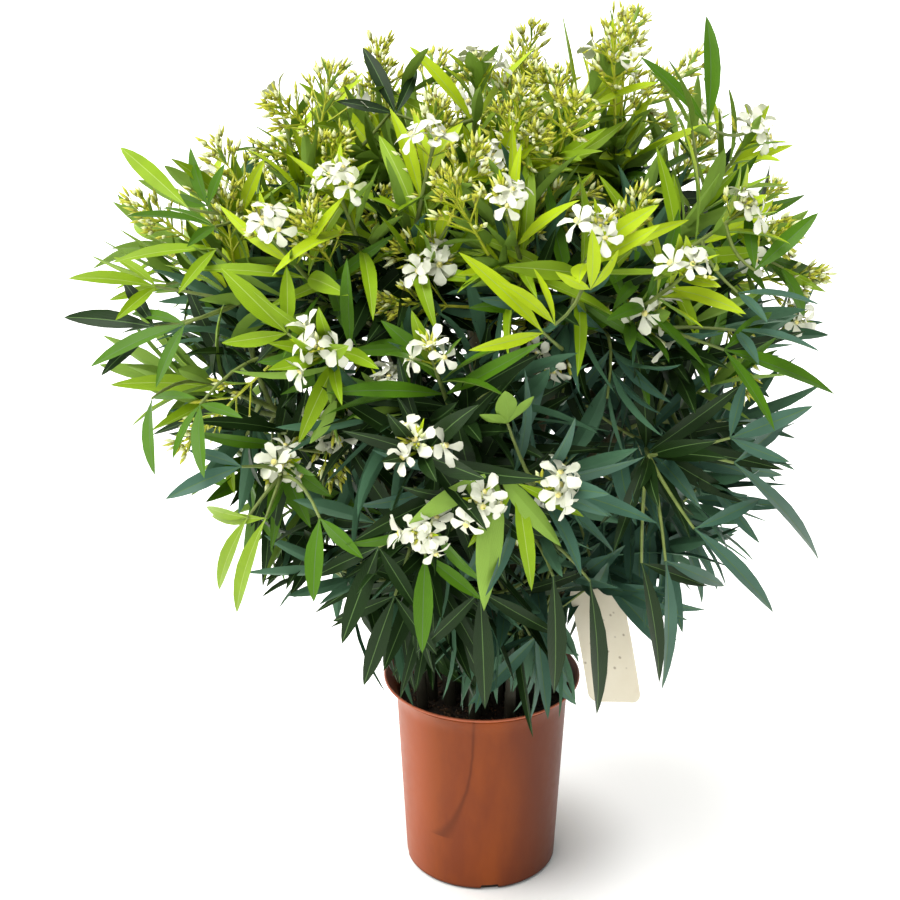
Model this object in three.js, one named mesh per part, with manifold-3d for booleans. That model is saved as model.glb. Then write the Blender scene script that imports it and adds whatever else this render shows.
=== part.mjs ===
// Potted oleander: a many-stemmed flowering shrub in a moulded plastic nursery pot.
// Millimetres, +Z up. The origin is the centre of the pot's flat underside, and the front faces -Y.
import * as THREE from "three";
import { mergeVertices } from "three/addons/utils/BufferGeometryUtils.js";
import Module from "manifold-3d";

const wasm = await Module();
wasm.setup();

const TAU = Math.PI * 2;
const GOLDEN_TURN = TAU * 0.381966;
const UP = new THREE.Vector3(0, 0, 1);
const GAP = 0.3;
const JOIN_TOLERANCE = 0.05;
const SEED = 12;

// The pot: a straight tapering body that flares out into a plain lip.
const POT = {
  height: 255,
  rimRadius: 120,
  neckRadius: 104,
  baseRadius: 93,
  flareHeight: 34,
  wall: 3,
  floor: 3,
  footChamfer: 4,
  sides: 36,
  slots: 4,
  slotTurn: -84,
  slotWidth: 22,
  slotHeight: 8,
  slotDepth: 14,
};
const SOIL_TOP = 222;

// The crown's reach from its centre, seen from the front: every 22.5 degrees from the right-hand
// side up over the top and round. DEPTH_REACH is how far it reaches to the front and the back.
const CROWN_CENTRE = new THREE.Vector3(-20, 0, 620);
const OUTLINE_REACH = [
  428, 462, 474, 480, 420, 408, 436, 496, 444, 342, 345, 338, 355, 365, 402, 440,
];
const DEPTH_REACH = 415;
const CROWN_FULLNESS = 2.3;

// Rings of masses, each mass carried by one cane. lift is the mass's angle above the crown's centre,
// turn the bearing of its first mass, and share its heart's distance out as a part of the reach.
// footRadius is how far from the middle its canes stand, and thickness the radius of each at its foot.
const RINGS = [
  { name: "top", count: 1, lift: 88, turn: 0, share: 0.62, footRadius: 0, thickness: 11, shoots: 5 },
  { name: "upper", count: 5, lift: 40, turn: -126, share: 0.64, footRadius: 27, thickness: 6, shoots: 4 },
  { name: "middle", count: 6, lift: 12, turn: -90, share: 0.64, footRadius: 45, thickness: 5.5, shoots: 4 },
  { name: "lower", count: 5, lift: -29, turn: -99, share: 0.62, footRadius: 62, thickness: 5, shoots: 4 },
  { name: "skirt", count: 4, lift: -60, turn: -66, share: 0.76, footRadius: 79, thickness: 4.5, shoots: 4 },
];

// Each cane rises by a share of its height, turns out at a shoulder, and thins from its flared foot.
const CANE = {
  rise: 0.4,
  shoulderOut: 0.3,
  shoulderUp: 0.72,
  leastReach: 0.3,
  step: 2,
  inset: 6,
  tipShare: 0.62,
  flare: 1.5,
  flareFade: 14,
  sides: 5,
  pieces: 4,
};

// Each mass's stem is its leader, and side shoots fork from it between the first and last fork.
const SHOOT = {
  stemRadius: 4.4,
  rootRadius: 3.6,
  tipRadius: 3,
  tipReach: 0.73,
  spread: 0.48,
  firstFork: 0.16,
  lastFork: 0.62,
  forkPlay: 0.3,
  turnPlay: 0.5,
  shortest: 0.92,
  longest: 1.06,
  bend: 0.4,
  margin: 12,
  pulls: 12,
  pull: 0.1,
};

// Leaves stand in whorls back from a shoot's tip. One that doesn't fit is tried again, turned and smaller.
// The four-sided blade is wide enough to have a real leaf's area.
const LEAF = {
  length: 166,
  width: 42,
  thickness: 2.4,
  widest: 0.46,
  arch: 0.07,
  whorls: [3, 3, 2],
  firstWhorl: 5,
  whorlStep: 42,
  bareShare: 0.2,
  smallest: 0.84,
  largest: 1.06,
  tipAngle: 32,
  backAngle: 84,
  droop: 0.5,
  droopBelow: 0.4,
  sunk: 1,
  neck: 0.05,
  clearance: 3,
  overReach: 1.03,
  tries: 8,
  tryTurn: 0.35,
  trySwing: 6,
  shrink: 0.04,
};

// Flowers, and where the front's open ones stand, as lift and bearing from the crown's centre.
// More are dealt out round the back.
const BLOOM = {
  petals: 5,
  radius: 25,
  notch: 0.5,
  tube: 24,
  flare: 7,
  throat: 20,
  sunk: 1.4,
  stalk: 26,
  reach: 0.93,
};
const FRONT_BLOOMS = [
  [49, -86], [58, -99], [40, -131], [50, -122], [80, -81], [66, -20], [22, -114], [30, -99],
  [12, -98], [-5, -98], [3, -89], [5, -77], [33, -53], [40, -68], [38, -37], [45, -5],
];
const BACK_BLOOMS = {
  count: 8,
  lowest: 8,
  liftStep: 31,
  liftSpan: 56,
  firstBearing: 12,
  lastBearing: 168,
};

// The bare label that hangs by its strap from one of the lower canes.
const LABEL = {
  mass: "lower_2",
  caneShare: 0.97,
  width: 66,
  height: 148,
  thickness: 1.4,
  corner: 12,
  strapWidth: 6,
  strapLength: 26,
  strapThickness: 1.1,
  strapLap: 6,
  ringWall: 2.4,
  ringHeight: 6,
  ringPlay: 1,
  ringSides: 12,
  turn: -25,
  lean: 12,
};

const COLOURS = { pot: 0xa4552f, soil: 0x241a13, cane: 0x7d7a4e, leaf: 0x55772a, label: 0xd9cdb4 };

function seededRandom(seed) {
  let state = seed;
  return () => {
    state = (state * 48271) % 2147483647;
    return state / 2147483647;
  };
}

function lerp(a, b, t) {
  return a + (b - a) * t;
}

function radians(degrees) {
  return (degrees * Math.PI) / 180;
}

// Any two directions square to an axis and to each other.
function squareTo(axis) {
  const helper = Math.abs(axis.z) > 0.9 ? new THREE.Vector3(1, 0, 0) : UP;
  const side = axis.clone().cross(helper).normalize();
  return { side, across: axis.clone().cross(side) };
}

function meshOf(geometry, colour, roughness) {
  return new THREE.Mesh(geometry, new THREE.MeshStandardMaterial({ color: colour, roughness, metalness: 0 }));
}

// Solids and joining.

function solidFromArrays(positions, triangles) {
  return new wasm.Manifold(
    new wasm.Mesh({
      numProp: 3,
      vertProperties: new Float32Array(positions),
      triVerts: new Uint32Array(triangles),
    }),
  );
}

function solidFrom(geometry) {
  const bare = new THREE.BufferGeometry().setAttribute("position", geometry.getAttribute("position").clone());
  if (geometry.index) bare.setIndex(geometry.index.clone());
  const merged = mergeVertices(bare, 1e-4);
  return solidFromArrays(merged.attributes.position.array, merged.index.array);
}

function geometryFrom(solid) {
  const mesh = solid.getMesh();
  return new THREE.BufferGeometry()
    .setAttribute("position", new THREE.BufferAttribute(new Float32Array(mesh.vertProperties), 3))
    .setIndex(new THREE.BufferAttribute(new Uint32Array(mesh.triVerts), 1));
}

// The largest body of a solid, so that no loose scrap is left beside it.
function mainBody(solid) {
  return solid.decompose().reduce((a, b) => (b.volume() > a.volume() ? b : a));
}

function lathe(profile, sides) {
  const outline = profile.map(([radius, z]) => new THREE.Vector2(radius, z));
  return new THREE.LatheGeometry(outline, sides).rotateX(Math.PI / 2);
}

// A closed round limb along a curve: a cylinder whose rings are moved onto the curve's own frames.
function limbGeometry(curve, radiusAt, sides, steps) {
  const geometry = new THREE.CylinderGeometry(1, 1, 1, sides, steps);
  const place = geometry.getAttribute("position");
  const frames = [];
  let side = new THREE.Vector3(1, 0, 0);
  for (let i = 0; i <= steps; i += 1) {
    const along = curve.getTangent(i / steps);
    side = side.clone().addScaledVector(along, -side.dot(along));
    if (side.length() < 0.2) side = squareTo(along).side;
    side.normalize();
    frames.push({ point: curve.getPoint(i / steps), side, across: along.clone().cross(side) });
  }
  for (let i = 0; i < place.count; i += 1) {
    const step = Math.round((0.5 + place.getY(i)) * steps);
    const { point, side: first, across } = frames[step];
    const radius = radiusAt(step / steps);
    const spot = point
      .clone()
      .addScaledVector(first, place.getX(i) * radius)
      .addScaledVector(across, -place.getZ(i) * radius);
    place.setXYZ(i, spot.x, spot.y, spot.z);
  }
  return geometry;
}

// A point on the straight pieces that a limb's curve is cut into.
function pointOnLimb(curve, steps, t) {
  const piece = Math.min(steps - 1, Math.floor(t * steps));
  const from = curve.getPoint(piece / steps);
  return from.lerp(curve.getPoint((piece + 1) / steps), t * steps - piece);
}

// The pot and its soil.

function potOuterRadius(z) {
  const neck = POT.height - POT.flareHeight;
  if (z < neck) return lerp(POT.baseRadius, POT.neckRadius, z / neck);
  const t = Math.min(1, (z - neck) / POT.flareHeight);
  return lerp(POT.neckRadius, POT.rimRadius, t * t);
}

function buildPot() {
  const { height, wall, floor, flareHeight, footChamfer, baseRadius } = POT;
  const levels = [0, 0.35, 0.7, 1].map((t) => height - flareHeight * (1 - t));
  const profile = [
    [0, 0],
    [baseRadius - footChamfer, 0],
    [potOuterRadius(footChamfer), footChamfer],
    ...levels.map((z) => [potOuterRadius(z), z]),
    ...levels.map((z) => [potOuterRadius(z) - wall, z]).reverse(),
    [potOuterRadius(floor) - wall, floor],
    [0, floor],
  ];
  let pot = solidFrom(lathe(profile, POT.sides));
  for (let i = 0; i < POT.slots; i += 1) {
    const slot = new THREE.BoxGeometry(POT.slotDepth, POT.slotWidth, POT.slotHeight * 2)
      .translate(baseRadius, 0, 0)
      .rotateZ((TAU * i) / POT.slots + radians(POT.slotTurn));
    pot = pot.subtract(solidFrom(slot));
  }
  return meshOf(geometryFrom(pot), COLOURS.pot, 0.45);
}

function buildSoil() {
  const inset = POT.wall + GAP;
  const bottom = POT.floor + GAP;
  const neck = POT.height - POT.flareHeight;
  const profile = [
    [0, bottom],
    [potOuterRadius(bottom) - inset, bottom],
    [potOuterRadius(neck) - inset, neck],
    [potOuterRadius(neck) - inset, SOIL_TOP],
    [0, SOIL_TOP],
  ];
  return meshOf(lathe(profile, POT.sides), COLOURS.soil, 0.95);
}

// The crown's space, shared out among the masses.

function crownReach(direction) {
  const count = OUTLINE_REACH.length;
  const turn = ((Math.atan2(direction.z, direction.x) / TAU + 1) * count) % count;
  const before = Math.floor(turn);
  const inFront = lerp(OUTLINE_REACH[before], OUTLINE_REACH[(before + 1) % count], turn - before);
  const sideways = Math.hypot(direction.x, direction.z) / inFront;
  const forward = Math.abs(direction.y) / DEPTH_REACH;
  return (sideways ** CROWN_FULLNESS + forward ** CROWN_FULLNESS) ** (-1 / CROWN_FULLNESS);
}

function crownPoint(direction, share) {
  return CROWN_CENTRE.clone().addScaledVector(direction, crownReach(direction) * share);
}

function outwards(lift, bearing) {
  const up = radians(lift);
  const round = radians(bearing);
  return new THREE.Vector3(Math.cos(up) * Math.cos(round), Math.cos(up) * Math.sin(round), Math.sin(up));
}

function planMasses() {
  const masses = [];
  for (const ring of RINGS) {
    for (let i = 0; i < ring.count; i += 1) {
      const bearing = ring.turn + (360 * i) / ring.count;
      const direction = outwards(ring.lift, bearing);
      masses.push({
        ring,
        label: ring.count > 1 ? `${ring.name}_${i + 1}` : ring.name,
        bearing,
        direction,
        heart: crownPoint(direction, ring.share),
        seed: SEED + 1000 * (RINGS.indexOf(ring) + 1) + 37 * i,
        blooms: [],
      });
    }
  }
  return masses;
}

// How far a point lies inside a mass's own space: the space nearer to its heart than to any other's.
function roomAt(mass, point, masses) {
  let room = Infinity;
  for (const other of masses) {
    if (other === mass) continue;
    const apart = other.heart.clone().sub(mass.heart);
    const middle = mass.heart.clone().addScaledVector(apart, 0.5);
    room = Math.min(room, middle.sub(point).dot(apart) / apart.length());
  }
  return room;
}

// Each blossom goes to the mass whose space it stands in.
function dealBlooms(masses) {
  const places = FRONT_BLOOMS.map(([lift, bearing]) => outwards(lift, bearing));
  const { count, lowest, liftStep, liftSpan, firstBearing, lastBearing } = BACK_BLOOMS;
  for (let i = 0; i < count; i += 1) {
    const lift = lowest + ((i * liftStep) % liftSpan);
    places.push(outwards(lift, lerp(firstBearing, lastBearing, i / (count - 1))));
  }
  for (const direction of places) {
    const spot = crownPoint(direction, BLOOM.reach);
    const owner = masses.reduce((a, b) => (spot.distanceTo(b.heart) < spot.distanceTo(a.heart) ? b : a));
    owner.blooms.push(spot);
  }
}

// A cane rises upright from its flat foot on the soil and leans out to its mass, where it ends.
function planCane(mass, masses) {
  const { ring, heart } = mass;
  const foot = outwards(0, mass.bearing).multiplyScalar(ring.footRadius).setZ(SOIL_TOP + GAP);
  const shoulder = foot.clone().lerp(heart, CANE.shoulderOut);
  shoulder.z = lerp(foot.z, heart.z, CANE.shoulderUp);
  const heading = heart.clone().sub(shoulder).normalize();
  const enough = ring.thickness + CANE.inset;
  const tip = shoulder.clone().lerp(heart, CANE.leastReach);
  while (roomAt(mass, tip, masses) < enough && tip.distanceTo(heart) > CANE.step) {
    tip.addScaledVector(heading, CANE.step);
  }
  const rise = (heart.z - foot.z) * CANE.rise;
  const curve = new THREE.CubicBezierCurve3(foot, foot.clone().addScaledVector(UP, rise), shoulder, tip);
  const radiusAt = (t) => {
    const flare = 1 + (CANE.flare - 1) * Math.exp(-t * CANE.flareFade);
    return ring.thickness * lerp(1, CANE.tipShare, t) * flare;
  };
  return { curve, radiusAt, tip, heading };
}

// A mass's one stem runs on to the crown's edge as its leader. Side shoots fork from it,
// first one for each blossom and then others on a golden spiral.
function planShoots(cane, space) {
  const { mass, masses } = space;
  const random = seededRandom(mass.seed);
  const fitted = (tip, margin) => {
    for (let i = 0; i < SHOOT.pulls && roomAt(mass, tip, masses) < margin; i += 1) {
      tip.lerp(mass.heart, SHOOT.pull);
    }
    return tip;
  };
  const edge = (direction) =>
    crownPoint(direction, SHOOT.tipReach * lerp(SHOOT.shortest, SHOOT.longest, random()));
  const start = cane.tip.clone().addScaledVector(cane.heading, GAP);
  const leaderTip = fitted(edge(mass.direction), SHOOT.margin);
  const control = start.clone().addScaledVector(cane.heading, start.distanceTo(leaderTip) * SHOOT.bend);
  const stem = {
    curve: new THREE.QuadraticBezierCurve3(start, control, leaderTip),
    sides: 4,
    pieces: 3,
    rootRadius: SHOOT.stemRadius,
    turn: random() * TAU,
    bloom: false,
  };
  const { side, across } = squareTo(mass.direction);
  const targets = mass.blooms.map((spot) => ({ tip: fitted(spot.clone(), BLOOM.radius + 2), bloom: true }));
  const count = Math.max(mass.ring.shoots, targets.length + 2);
  for (let k = targets.length; k < count; k += 1) {
    const turn = k * GOLDEN_TURN + random() * SHOOT.turnPlay;
    const direction = mass.direction
      .clone()
      .addScaledVector(side, Math.cos(turn) * SHOOT.spread)
      .addScaledVector(across, Math.sin(turn) * SHOOT.spread)
      .normalize();
    targets.push({ tip: fitted(edge(direction), SHOOT.margin), bloom: false });
  }
  const shoots = targets.map(({ tip, bloom }, k) => {
    const forkAt = lerp(SHOOT.firstFork, SHOOT.lastFork, (k + random() * SHOOT.forkPlay) / count);
    return {
      curve: new THREE.LineCurve3(pointOnLimb(stem.curve, stem.pieces, forkAt), tip),
      sides: 3,
      pieces: 1,
      rootRadius: SHOOT.rootRadius,
      turn: random() * TAU,
      bloom,
    };
  });
  return { random, shoots: [stem, ...shoots.filter((shoot) => shootIsFree(shoot, space))] };
}

function shootIsFree(shoot, { canes, label }) {
  const clearance = shoot.rootRadius + LEAF.clearance;
  return shoot.curve.getPoints(12).every(
    (point) =>
      canes.every((line) => distanceToLine(point, line) > clearance) &&
      !touchesPot(point, clearance) &&
      !touchesLabel(point, label, clearance),
  );
}

function shootRadius(shoot) {
  return (t) => lerp(shoot.rootRadius, SHOOT.tipRadius, t);
}

// Leaves, and what they keep clear of.

function limbLine(curve, radiusAt, steps) {
  return curve.getPoints(steps).map((point, i) => ({ point, radius: radiusAt(i / steps) }));
}

function distanceToLine(point, line) {
  let least = Infinity;
  for (let i = 1; i < line.length; i += 1) {
    const a = line[i - 1].point;
    const span = line[i].point.clone().sub(a);
    const t = Math.min(1, Math.max(0, point.clone().sub(a).dot(span) / span.lengthSq()));
    const radius = lerp(line[i - 1].radius, line[i].radius, t);
    least = Math.min(least, point.distanceTo(a.clone().addScaledVector(span, t)) - radius);
  }
  return least;
}

function touchesPot(point, clearance) {
  if (point.z > POT.height + clearance) return false;
  const radius = Math.hypot(point.x, point.y);
  const outside = potOuterRadius(point.z);
  if (radius > outside + clearance) return false;
  return radius > outside - POT.wall - clearance || point.z < SOIL_TOP + clearance;
}

function touchesLabel(point, label, clearance) {
  const from = point.clone().sub(label.top);
  const down = from.dot(label.down);
  return (
    Math.abs(from.dot(label.face)) < clearance &&
    Math.abs(from.dot(label.wide)) < LABEL.width / 2 + clearance &&
    down > -LABEL.strapLength - LABEL.strapLap &&
    down < LABEL.height + clearance
  );
}

// A blade has its root inside the twig, an arched middle with a keel under it, and a tip.
function leafCorners(root, axis, face, length, width) {
  const side = axis.clone().cross(face);
  const middle = root
    .clone()
    .addScaledVector(axis, length * LEAF.widest)
    .addScaledVector(face, LEAF.arch * length);
  return {
    root,
    left: middle.clone().addScaledVector(side, -width / 2),
    right: middle.clone().addScaledVector(side, width / 2),
    keel: middle.clone().addScaledVector(face, -LEAF.thickness),
    tip: root.clone().addScaledVector(axis, length),
    neck: root.clone().addScaledVector(axis, length * LEAF.neck),
  };
}

const LEAF_FACES = [0, 2, 1, 4, 1, 2, 0, 1, 3, 0, 3, 2, 4, 3, 1, 4, 2, 3];

function bladeSolid({ root, left, right, keel, tip }) {
  return solidFromArrays([root, left, right, keel, tip].flatMap((c) => [c.x, c.y, c.z]), LEAF_FACES);
}

// Points spread over a blade, past the stretch beside its twig.
function bladeSamples({ root, left, right, tip }) {
  const samples = [tip];
  for (let i = 2; i < 14; i += 1) {
    const t = i / 14;
    const share = t < LEAF.widest ? t / LEAF.widest : (1 - t) / (1 - LEAF.widest);
    const end = t < LEAF.widest ? root : tip;
    for (let j = 0; j <= 4; j += 1) samples.push(end.clone().lerp(left.clone().lerp(right, j / 4), share));
  }
  return samples;
}

function segmentCutsTriangle(from, to, a, b, c) {
  const span = to.clone().sub(from);
  const reach = span.length();
  const hit = new THREE.Ray(from, span.normalize()).intersectTriangle(a, b, c, false, new THREE.Vector3());
  return hit !== null && hit.distanceTo(from) <= reach;
}

function bladesCross(one, two) {
  const edges = ({ neck, left, right, keel, tip }) =>
    [left, right, keel].flatMap((corner) => [[neck, corner], [corner, tip]]).concat([[left, right]]);
  const halves = ({ neck, left, right, tip }) => [[neck, left, right], [tip, left, right]];
  const cuts = (a, b) =>
    edges(a).some(([from, to]) => halves(b).some((corners) => segmentCutsTriangle(from, to, ...corners)));
  return cuts(one, two) || cuts(two, one);
}

function leafFits(blade, own, blades, space) {
  const { mass, masses, canes, limbs, label } = space;
  const out = blade.tip.clone().sub(CROWN_CENTRE);
  if (out.length() > crownReach(out.clone().normalize()) * LEAF.overReach) return false;
  const corners = [blade.left, blade.right, blade.tip];
  if (corners.some((corner) => roomAt(mass, corner, masses) < LEAF.thickness)) return false;
  const lines = [...canes, ...limbs.filter((line) => line !== own)];
  const touches = (point) =>
    touchesPot(point, LEAF.clearance) ||
    touchesLabel(point, label, LEAF.clearance) ||
    lines.some((line) => distanceToLine(point, line) < LEAF.clearance);
  if (bladeSamples(blade).some(touches)) return false;
  return !blades.some((other) => bladesCross(blade, other));
}

// One leaf of a whorl, turned and leaned until it fits. One that never fits is left out.
function placeLeaf(shoot, place, space, blades) {
  const { at, turn, lean, size, sag, own } = place;
  const root = pointOnLimb(shoot.curve, shoot.pieces, at);
  const along = shoot.curve.getTangent(at);
  const { side, across } = squareTo(along);
  for (let attempt = 0; attempt < LEAF.tries; attempt += 1) {
    const round = turn + attempt * LEAF.tryTurn;
    const over = radians(lean + attempt * (attempt % 2 ? -LEAF.trySwing : LEAF.trySwing));
    const axis = along
      .clone()
      .multiplyScalar(Math.cos(over))
      .addScaledVector(side, Math.cos(round) * Math.sin(over))
      .addScaledVector(across, Math.sin(round) * Math.sin(over));
    axis.z -= sag * Math.sin(over);
    axis.normalize();
    const face = along.clone().addScaledVector(axis, -along.dot(axis)).normalize();
    const scale = size * (1 - LEAF.shrink * attempt);
    const sunk = root.clone().addScaledVector(axis, -LEAF.sunk);
    const blade = leafCorners(sunk, axis, face, LEAF.length * scale, LEAF.width * scale);
    if (leafFits(blade, own, blades, space)) return blade;
  }
  return null;
}

function placeLeaves({ shoots, random }, space) {
  const blades = [];
  const sag = LEAF.droop * Math.max(0, LEAF.droopBelow - space.mass.direction.z);
  shoots.forEach((shoot, k) => {
    const length = shoot.curve.getLength();
    LEAF.whorls.forEach((leaves, row) => {
      const back = row * LEAF.whorlStep + (shoot.bloom ? BLOOM.stalk : LEAF.firstWhorl);
      if (back > length * (1 - LEAF.bareShare)) return;
      for (let i = 0; i < leaves; i += 1) {
        const place = {
          at: 1 - back / length,
          turn: shoot.turn + (i / leaves + row / 2) * TAU,
          lean: lerp(LEAF.tipAngle, LEAF.backAngle, row / (LEAF.whorls.length - 1)),
          size: lerp(LEAF.smallest, LEAF.largest, random()),
          sag,
          own: space.limbs[k],
        };
        const blade = placeLeaf(shoot, place, space, blades);
        if (blade) blades.push(blade);
      }
    });
  });
  return blades;
}

// A blossom: a funnel from its root in the shoot's tip to a rim of petals round a sunken throat.
function bloomSolid(shoot) {
  const tip = shoot.curve.getPoint(1);
  const facing = tip.clone().sub(shoot.curve.getPoint(0)).normalize();
  const { side, across } = squareTo(facing);
  const root = tip.addScaledVector(facing, -BLOOM.sunk);
  const corners = [root, root.clone().addScaledVector(facing, BLOOM.throat)];
  const faces = [];
  const rim = BLOOM.petals * 2;
  for (let i = 0; i < rim; i += 1) {
    const turn = (TAU * i) / rim;
    const radius = BLOOM.radius * (i % 2 ? BLOOM.notch : 1);
    const up = BLOOM.tube + (i % 2 ? 0 : BLOOM.flare);
    corners.push(
      root
        .clone()
        .addScaledVector(facing, up)
        .addScaledVector(side, Math.cos(turn) * radius)
        .addScaledVector(across, Math.sin(turn) * radius),
    );
    const here = 2 + i;
    const next = 2 + ((i + 1) % rim);
    faces.push(0, next, here, 1, here, next);
  }
  return solidFromArrays(corners.flatMap((c) => [c.x, c.y, c.z]), faces);
}

function buildMass(plan, space) {
  const limbs = plan.shoots.map((shoot) =>
    solidFrom(limbGeometry(shoot.curve, shootRadius(shoot), shoot.sides, shoot.pieces)),
  );
  const blooms = plan.shoots.filter((shoot) => shoot.bloom).map(bloomSolid);
  const blades = placeLeaves(plan, space).map(bladeSolid);
  const solid = [...limbs, ...blooms, ...blades].reduce((whole, piece) => whole.add(piece));
  return meshOf(geometryFrom(mainBody(solid.simplify(JOIN_TOLERANCE))), COLOURS.leaf, 0.5);
}

// The label's place: it hangs down and a little outwards from a ring round its cane.
function planLabel(masses, canes) {
  const { curve, radiusAt } = canes[masses.findIndex((mass) => mass.label === LABEL.mass)];
  const wide = outwards(0, LABEL.turn);
  const face = wide.clone().cross(UP).normalize();
  const lean = radians(LABEL.lean);
  const down = wide.clone().multiplyScalar(Math.sin(lean)).addScaledVector(UP, -Math.cos(lean));
  wide.multiplyScalar(Math.cos(lean)).addScaledVector(UP, Math.sin(lean));
  const ring = pointOnLimb(curve, CANE.pieces, LABEL.caneShare);
  const axis = curve.getPoint(1).sub(curve.getPoint(1 - 1 / CANE.pieces)).normalize();
  const bore = radiusAt(LABEL.caneShare) + LABEL.ringPlay;
  const lowest = down.clone().addScaledVector(axis, -down.dot(axis)).normalize();
  const hook = ring.clone().addScaledVector(lowest, bore + LABEL.ringWall / 2);
  const top = hook.clone().addScaledVector(down, LABEL.strapLength);
  return { ring, top, wide, down, face, axis, bore };
}

function buildLabel(label) {
  const { width, height, corner, thickness, strapWidth, strapLength, strapThickness, strapLap } = LABEL;
  const across = width / 2 - corner;
  const outline = new THREE.Shape()
    .moveTo(width / 2, -corner)
    .absarc(across, -corner, corner, 0, TAU / 4)
    .absarc(-across, -corner, corner, TAU / 4, TAU / 2)
    .absarc(-across, corner - height, corner, TAU / 2, TAU * 0.75)
    .absarc(across, corner - height, corner, TAU * 0.75, TAU);
  const settings = { depth: thickness, bevelEnabled: false, curveSegments: 4 };
  const card = new THREE.ExtrudeGeometry(outline, settings).translate(0, 0, -thickness / 2);
  const strap = new THREE.BoxGeometry(strapWidth, strapLength + strapLap, strapThickness);
  strap.translate(0, (strapLength - strapLap) / 2, 0);
  const place = new THREE.Matrix4().makeBasis(label.wide, label.down.clone().negate(), label.face);
  place.setPosition(label.top);
  const inner = label.bore;
  const outer = label.bore + LABEL.ringWall;
  const half = LABEL.ringHeight / 2;
  const profile = [[inner, -half], [outer, -half], [outer, half], [inner, half], [inner, -half]];
  const ring = lathe(profile, LABEL.ringSides);
  ring.applyQuaternion(new THREE.Quaternion().setFromUnitVectors(UP, label.axis));
  ring.translate(label.ring.x, label.ring.y, label.ring.z);
  const pieces = [card.applyMatrix4(place), strap.applyMatrix4(place), ring].map(solidFrom);
  return meshOf(geometryFrom(pieces.reduce((whole, piece) => whole.add(piece))), COLOURS.label, 0.6);
}

function buildOleander() {
  const group = new THREE.Group();
  const add = (mesh, name) => {
    mesh.name = name;
    group.add(mesh);
  };
  add(buildPot(), "pot");
  add(buildSoil(), "soil");
  const masses = planMasses();
  dealBlooms(masses);
  const canes = masses.map((mass) => planCane(mass, masses));
  const caneLines = canes.map((cane) => limbLine(cane.curve, cane.radiusAt, CANE.pieces));
  const label = planLabel(masses, canes);
  add(buildLabel(label), "label");
  masses.forEach((mass, i) => {
    const cane = canes[i];
    const limb = limbGeometry(cane.curve, cane.radiusAt, CANE.sides, CANE.pieces);
    add(meshOf(limb, COLOURS.cane, 0.8), mass.ring.name === "top" ? "main_stem" : `cane_${mass.label}`);
    const space = { mass, masses, canes: caneLines, label };
    const plan = planShoots(cane, space);
    const limbs = plan.shoots.map((shoot) => limbLine(shoot.curve, shootRadius(shoot), shoot.pieces));
    add(buildMass(plan, { ...space, limbs }), `foliage_${mass.label}`);
  });
  return group;
}

const oleander = buildOleander();

export default oleander;
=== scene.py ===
"""A flowering oleander in its plastic nursery pot, with canes, twigs, leaves, blossom and a bare label.

The crown grows by the same rule as the solids, in millimetres, and is carried on to finer twigs.
"""

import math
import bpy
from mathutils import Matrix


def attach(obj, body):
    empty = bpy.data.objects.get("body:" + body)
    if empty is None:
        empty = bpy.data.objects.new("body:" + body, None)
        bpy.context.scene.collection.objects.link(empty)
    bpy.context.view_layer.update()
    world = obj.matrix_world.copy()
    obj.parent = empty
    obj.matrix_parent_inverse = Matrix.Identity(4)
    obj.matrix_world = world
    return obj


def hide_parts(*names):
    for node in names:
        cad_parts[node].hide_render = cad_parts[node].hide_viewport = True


bl_info = {
    "name": "Potted oleander",
    "version": (1, 0, 0),
    "blender": (4, 5, 0),
    "location": "View3D > Sidebar > Oleander",
    "description": "Dresses the packed solids of a potted oleander with bark, leaves and blossom",
    "category": "Add Mesh",
}

from types import SimpleNamespace as Named

import bmesh
import bpy
import numpy as np
from mathutils import Matrix, Vector, noise

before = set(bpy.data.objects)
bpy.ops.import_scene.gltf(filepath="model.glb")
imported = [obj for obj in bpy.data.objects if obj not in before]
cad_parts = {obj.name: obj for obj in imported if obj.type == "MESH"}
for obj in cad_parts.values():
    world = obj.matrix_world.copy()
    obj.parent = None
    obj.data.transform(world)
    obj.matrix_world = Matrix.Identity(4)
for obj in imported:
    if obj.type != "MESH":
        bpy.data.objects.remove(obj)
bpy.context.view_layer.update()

MM = 0.001
SHARP_ANGLE = 35
TAU = math.tau
GOLDEN_TURN = TAU * 0.381966
UP = Vector((0, 0, 1))

# The rule of the solids, in millimetres and degrees.

GAP = 0.3
SEED = 12
# The steps in seed from ring to ring and mass to mass, and those of the finer growth, heads and chips.
SEEDS = Named(ring=1000, mass=37, growth=500009, head=7, head_play=99991, chips=90001)
POT = Named(
    height=255, rim=120, neck=104, base=93, flare=34, wall=3, floor=3, chamfer=4, lip=1.5,
    sides=96, rows=(40, 80, 120, 160, 200), flare_rows=8, lip_turns=range(-60, 181, 30),
    groove=((246.6, 0), (247.2, 0.7), (248.4, 0.7), (249, 0)),
    slots=4, slot_turn=-84, slot_width=22, slot_height=8, slot_depth=14, slot_corner=2,
)
SOIL_TOP = 222
CROWN_CENTRE = Vector((-20, 0, 620))
OUTLINE_REACH = (428, 462, 474, 480, 420, 408, 436, 496, 444, 342, 345, 338, 355, 365, 402, 440)
DEPTH_REACH = 415
CROWN_FULLNESS = 2.3
RINGS = [
    Named(name="top", count=1, lift=88, turn=0, share=0.62, foot=0, thickness=11, shoots=5),
    Named(name="upper", count=5, lift=40, turn=-126, share=0.64, foot=27, thickness=6, shoots=4),
    Named(name="middle", count=6, lift=12, turn=-90, share=0.64, foot=45, thickness=5.5, shoots=4),
    Named(name="lower", count=5, lift=-29, turn=-99, share=0.62, foot=62, thickness=5, shoots=4),
    Named(name="skirt", count=4, lift=-60, turn=-66, share=0.76, foot=79, thickness=4.5, shoots=4),
]
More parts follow.
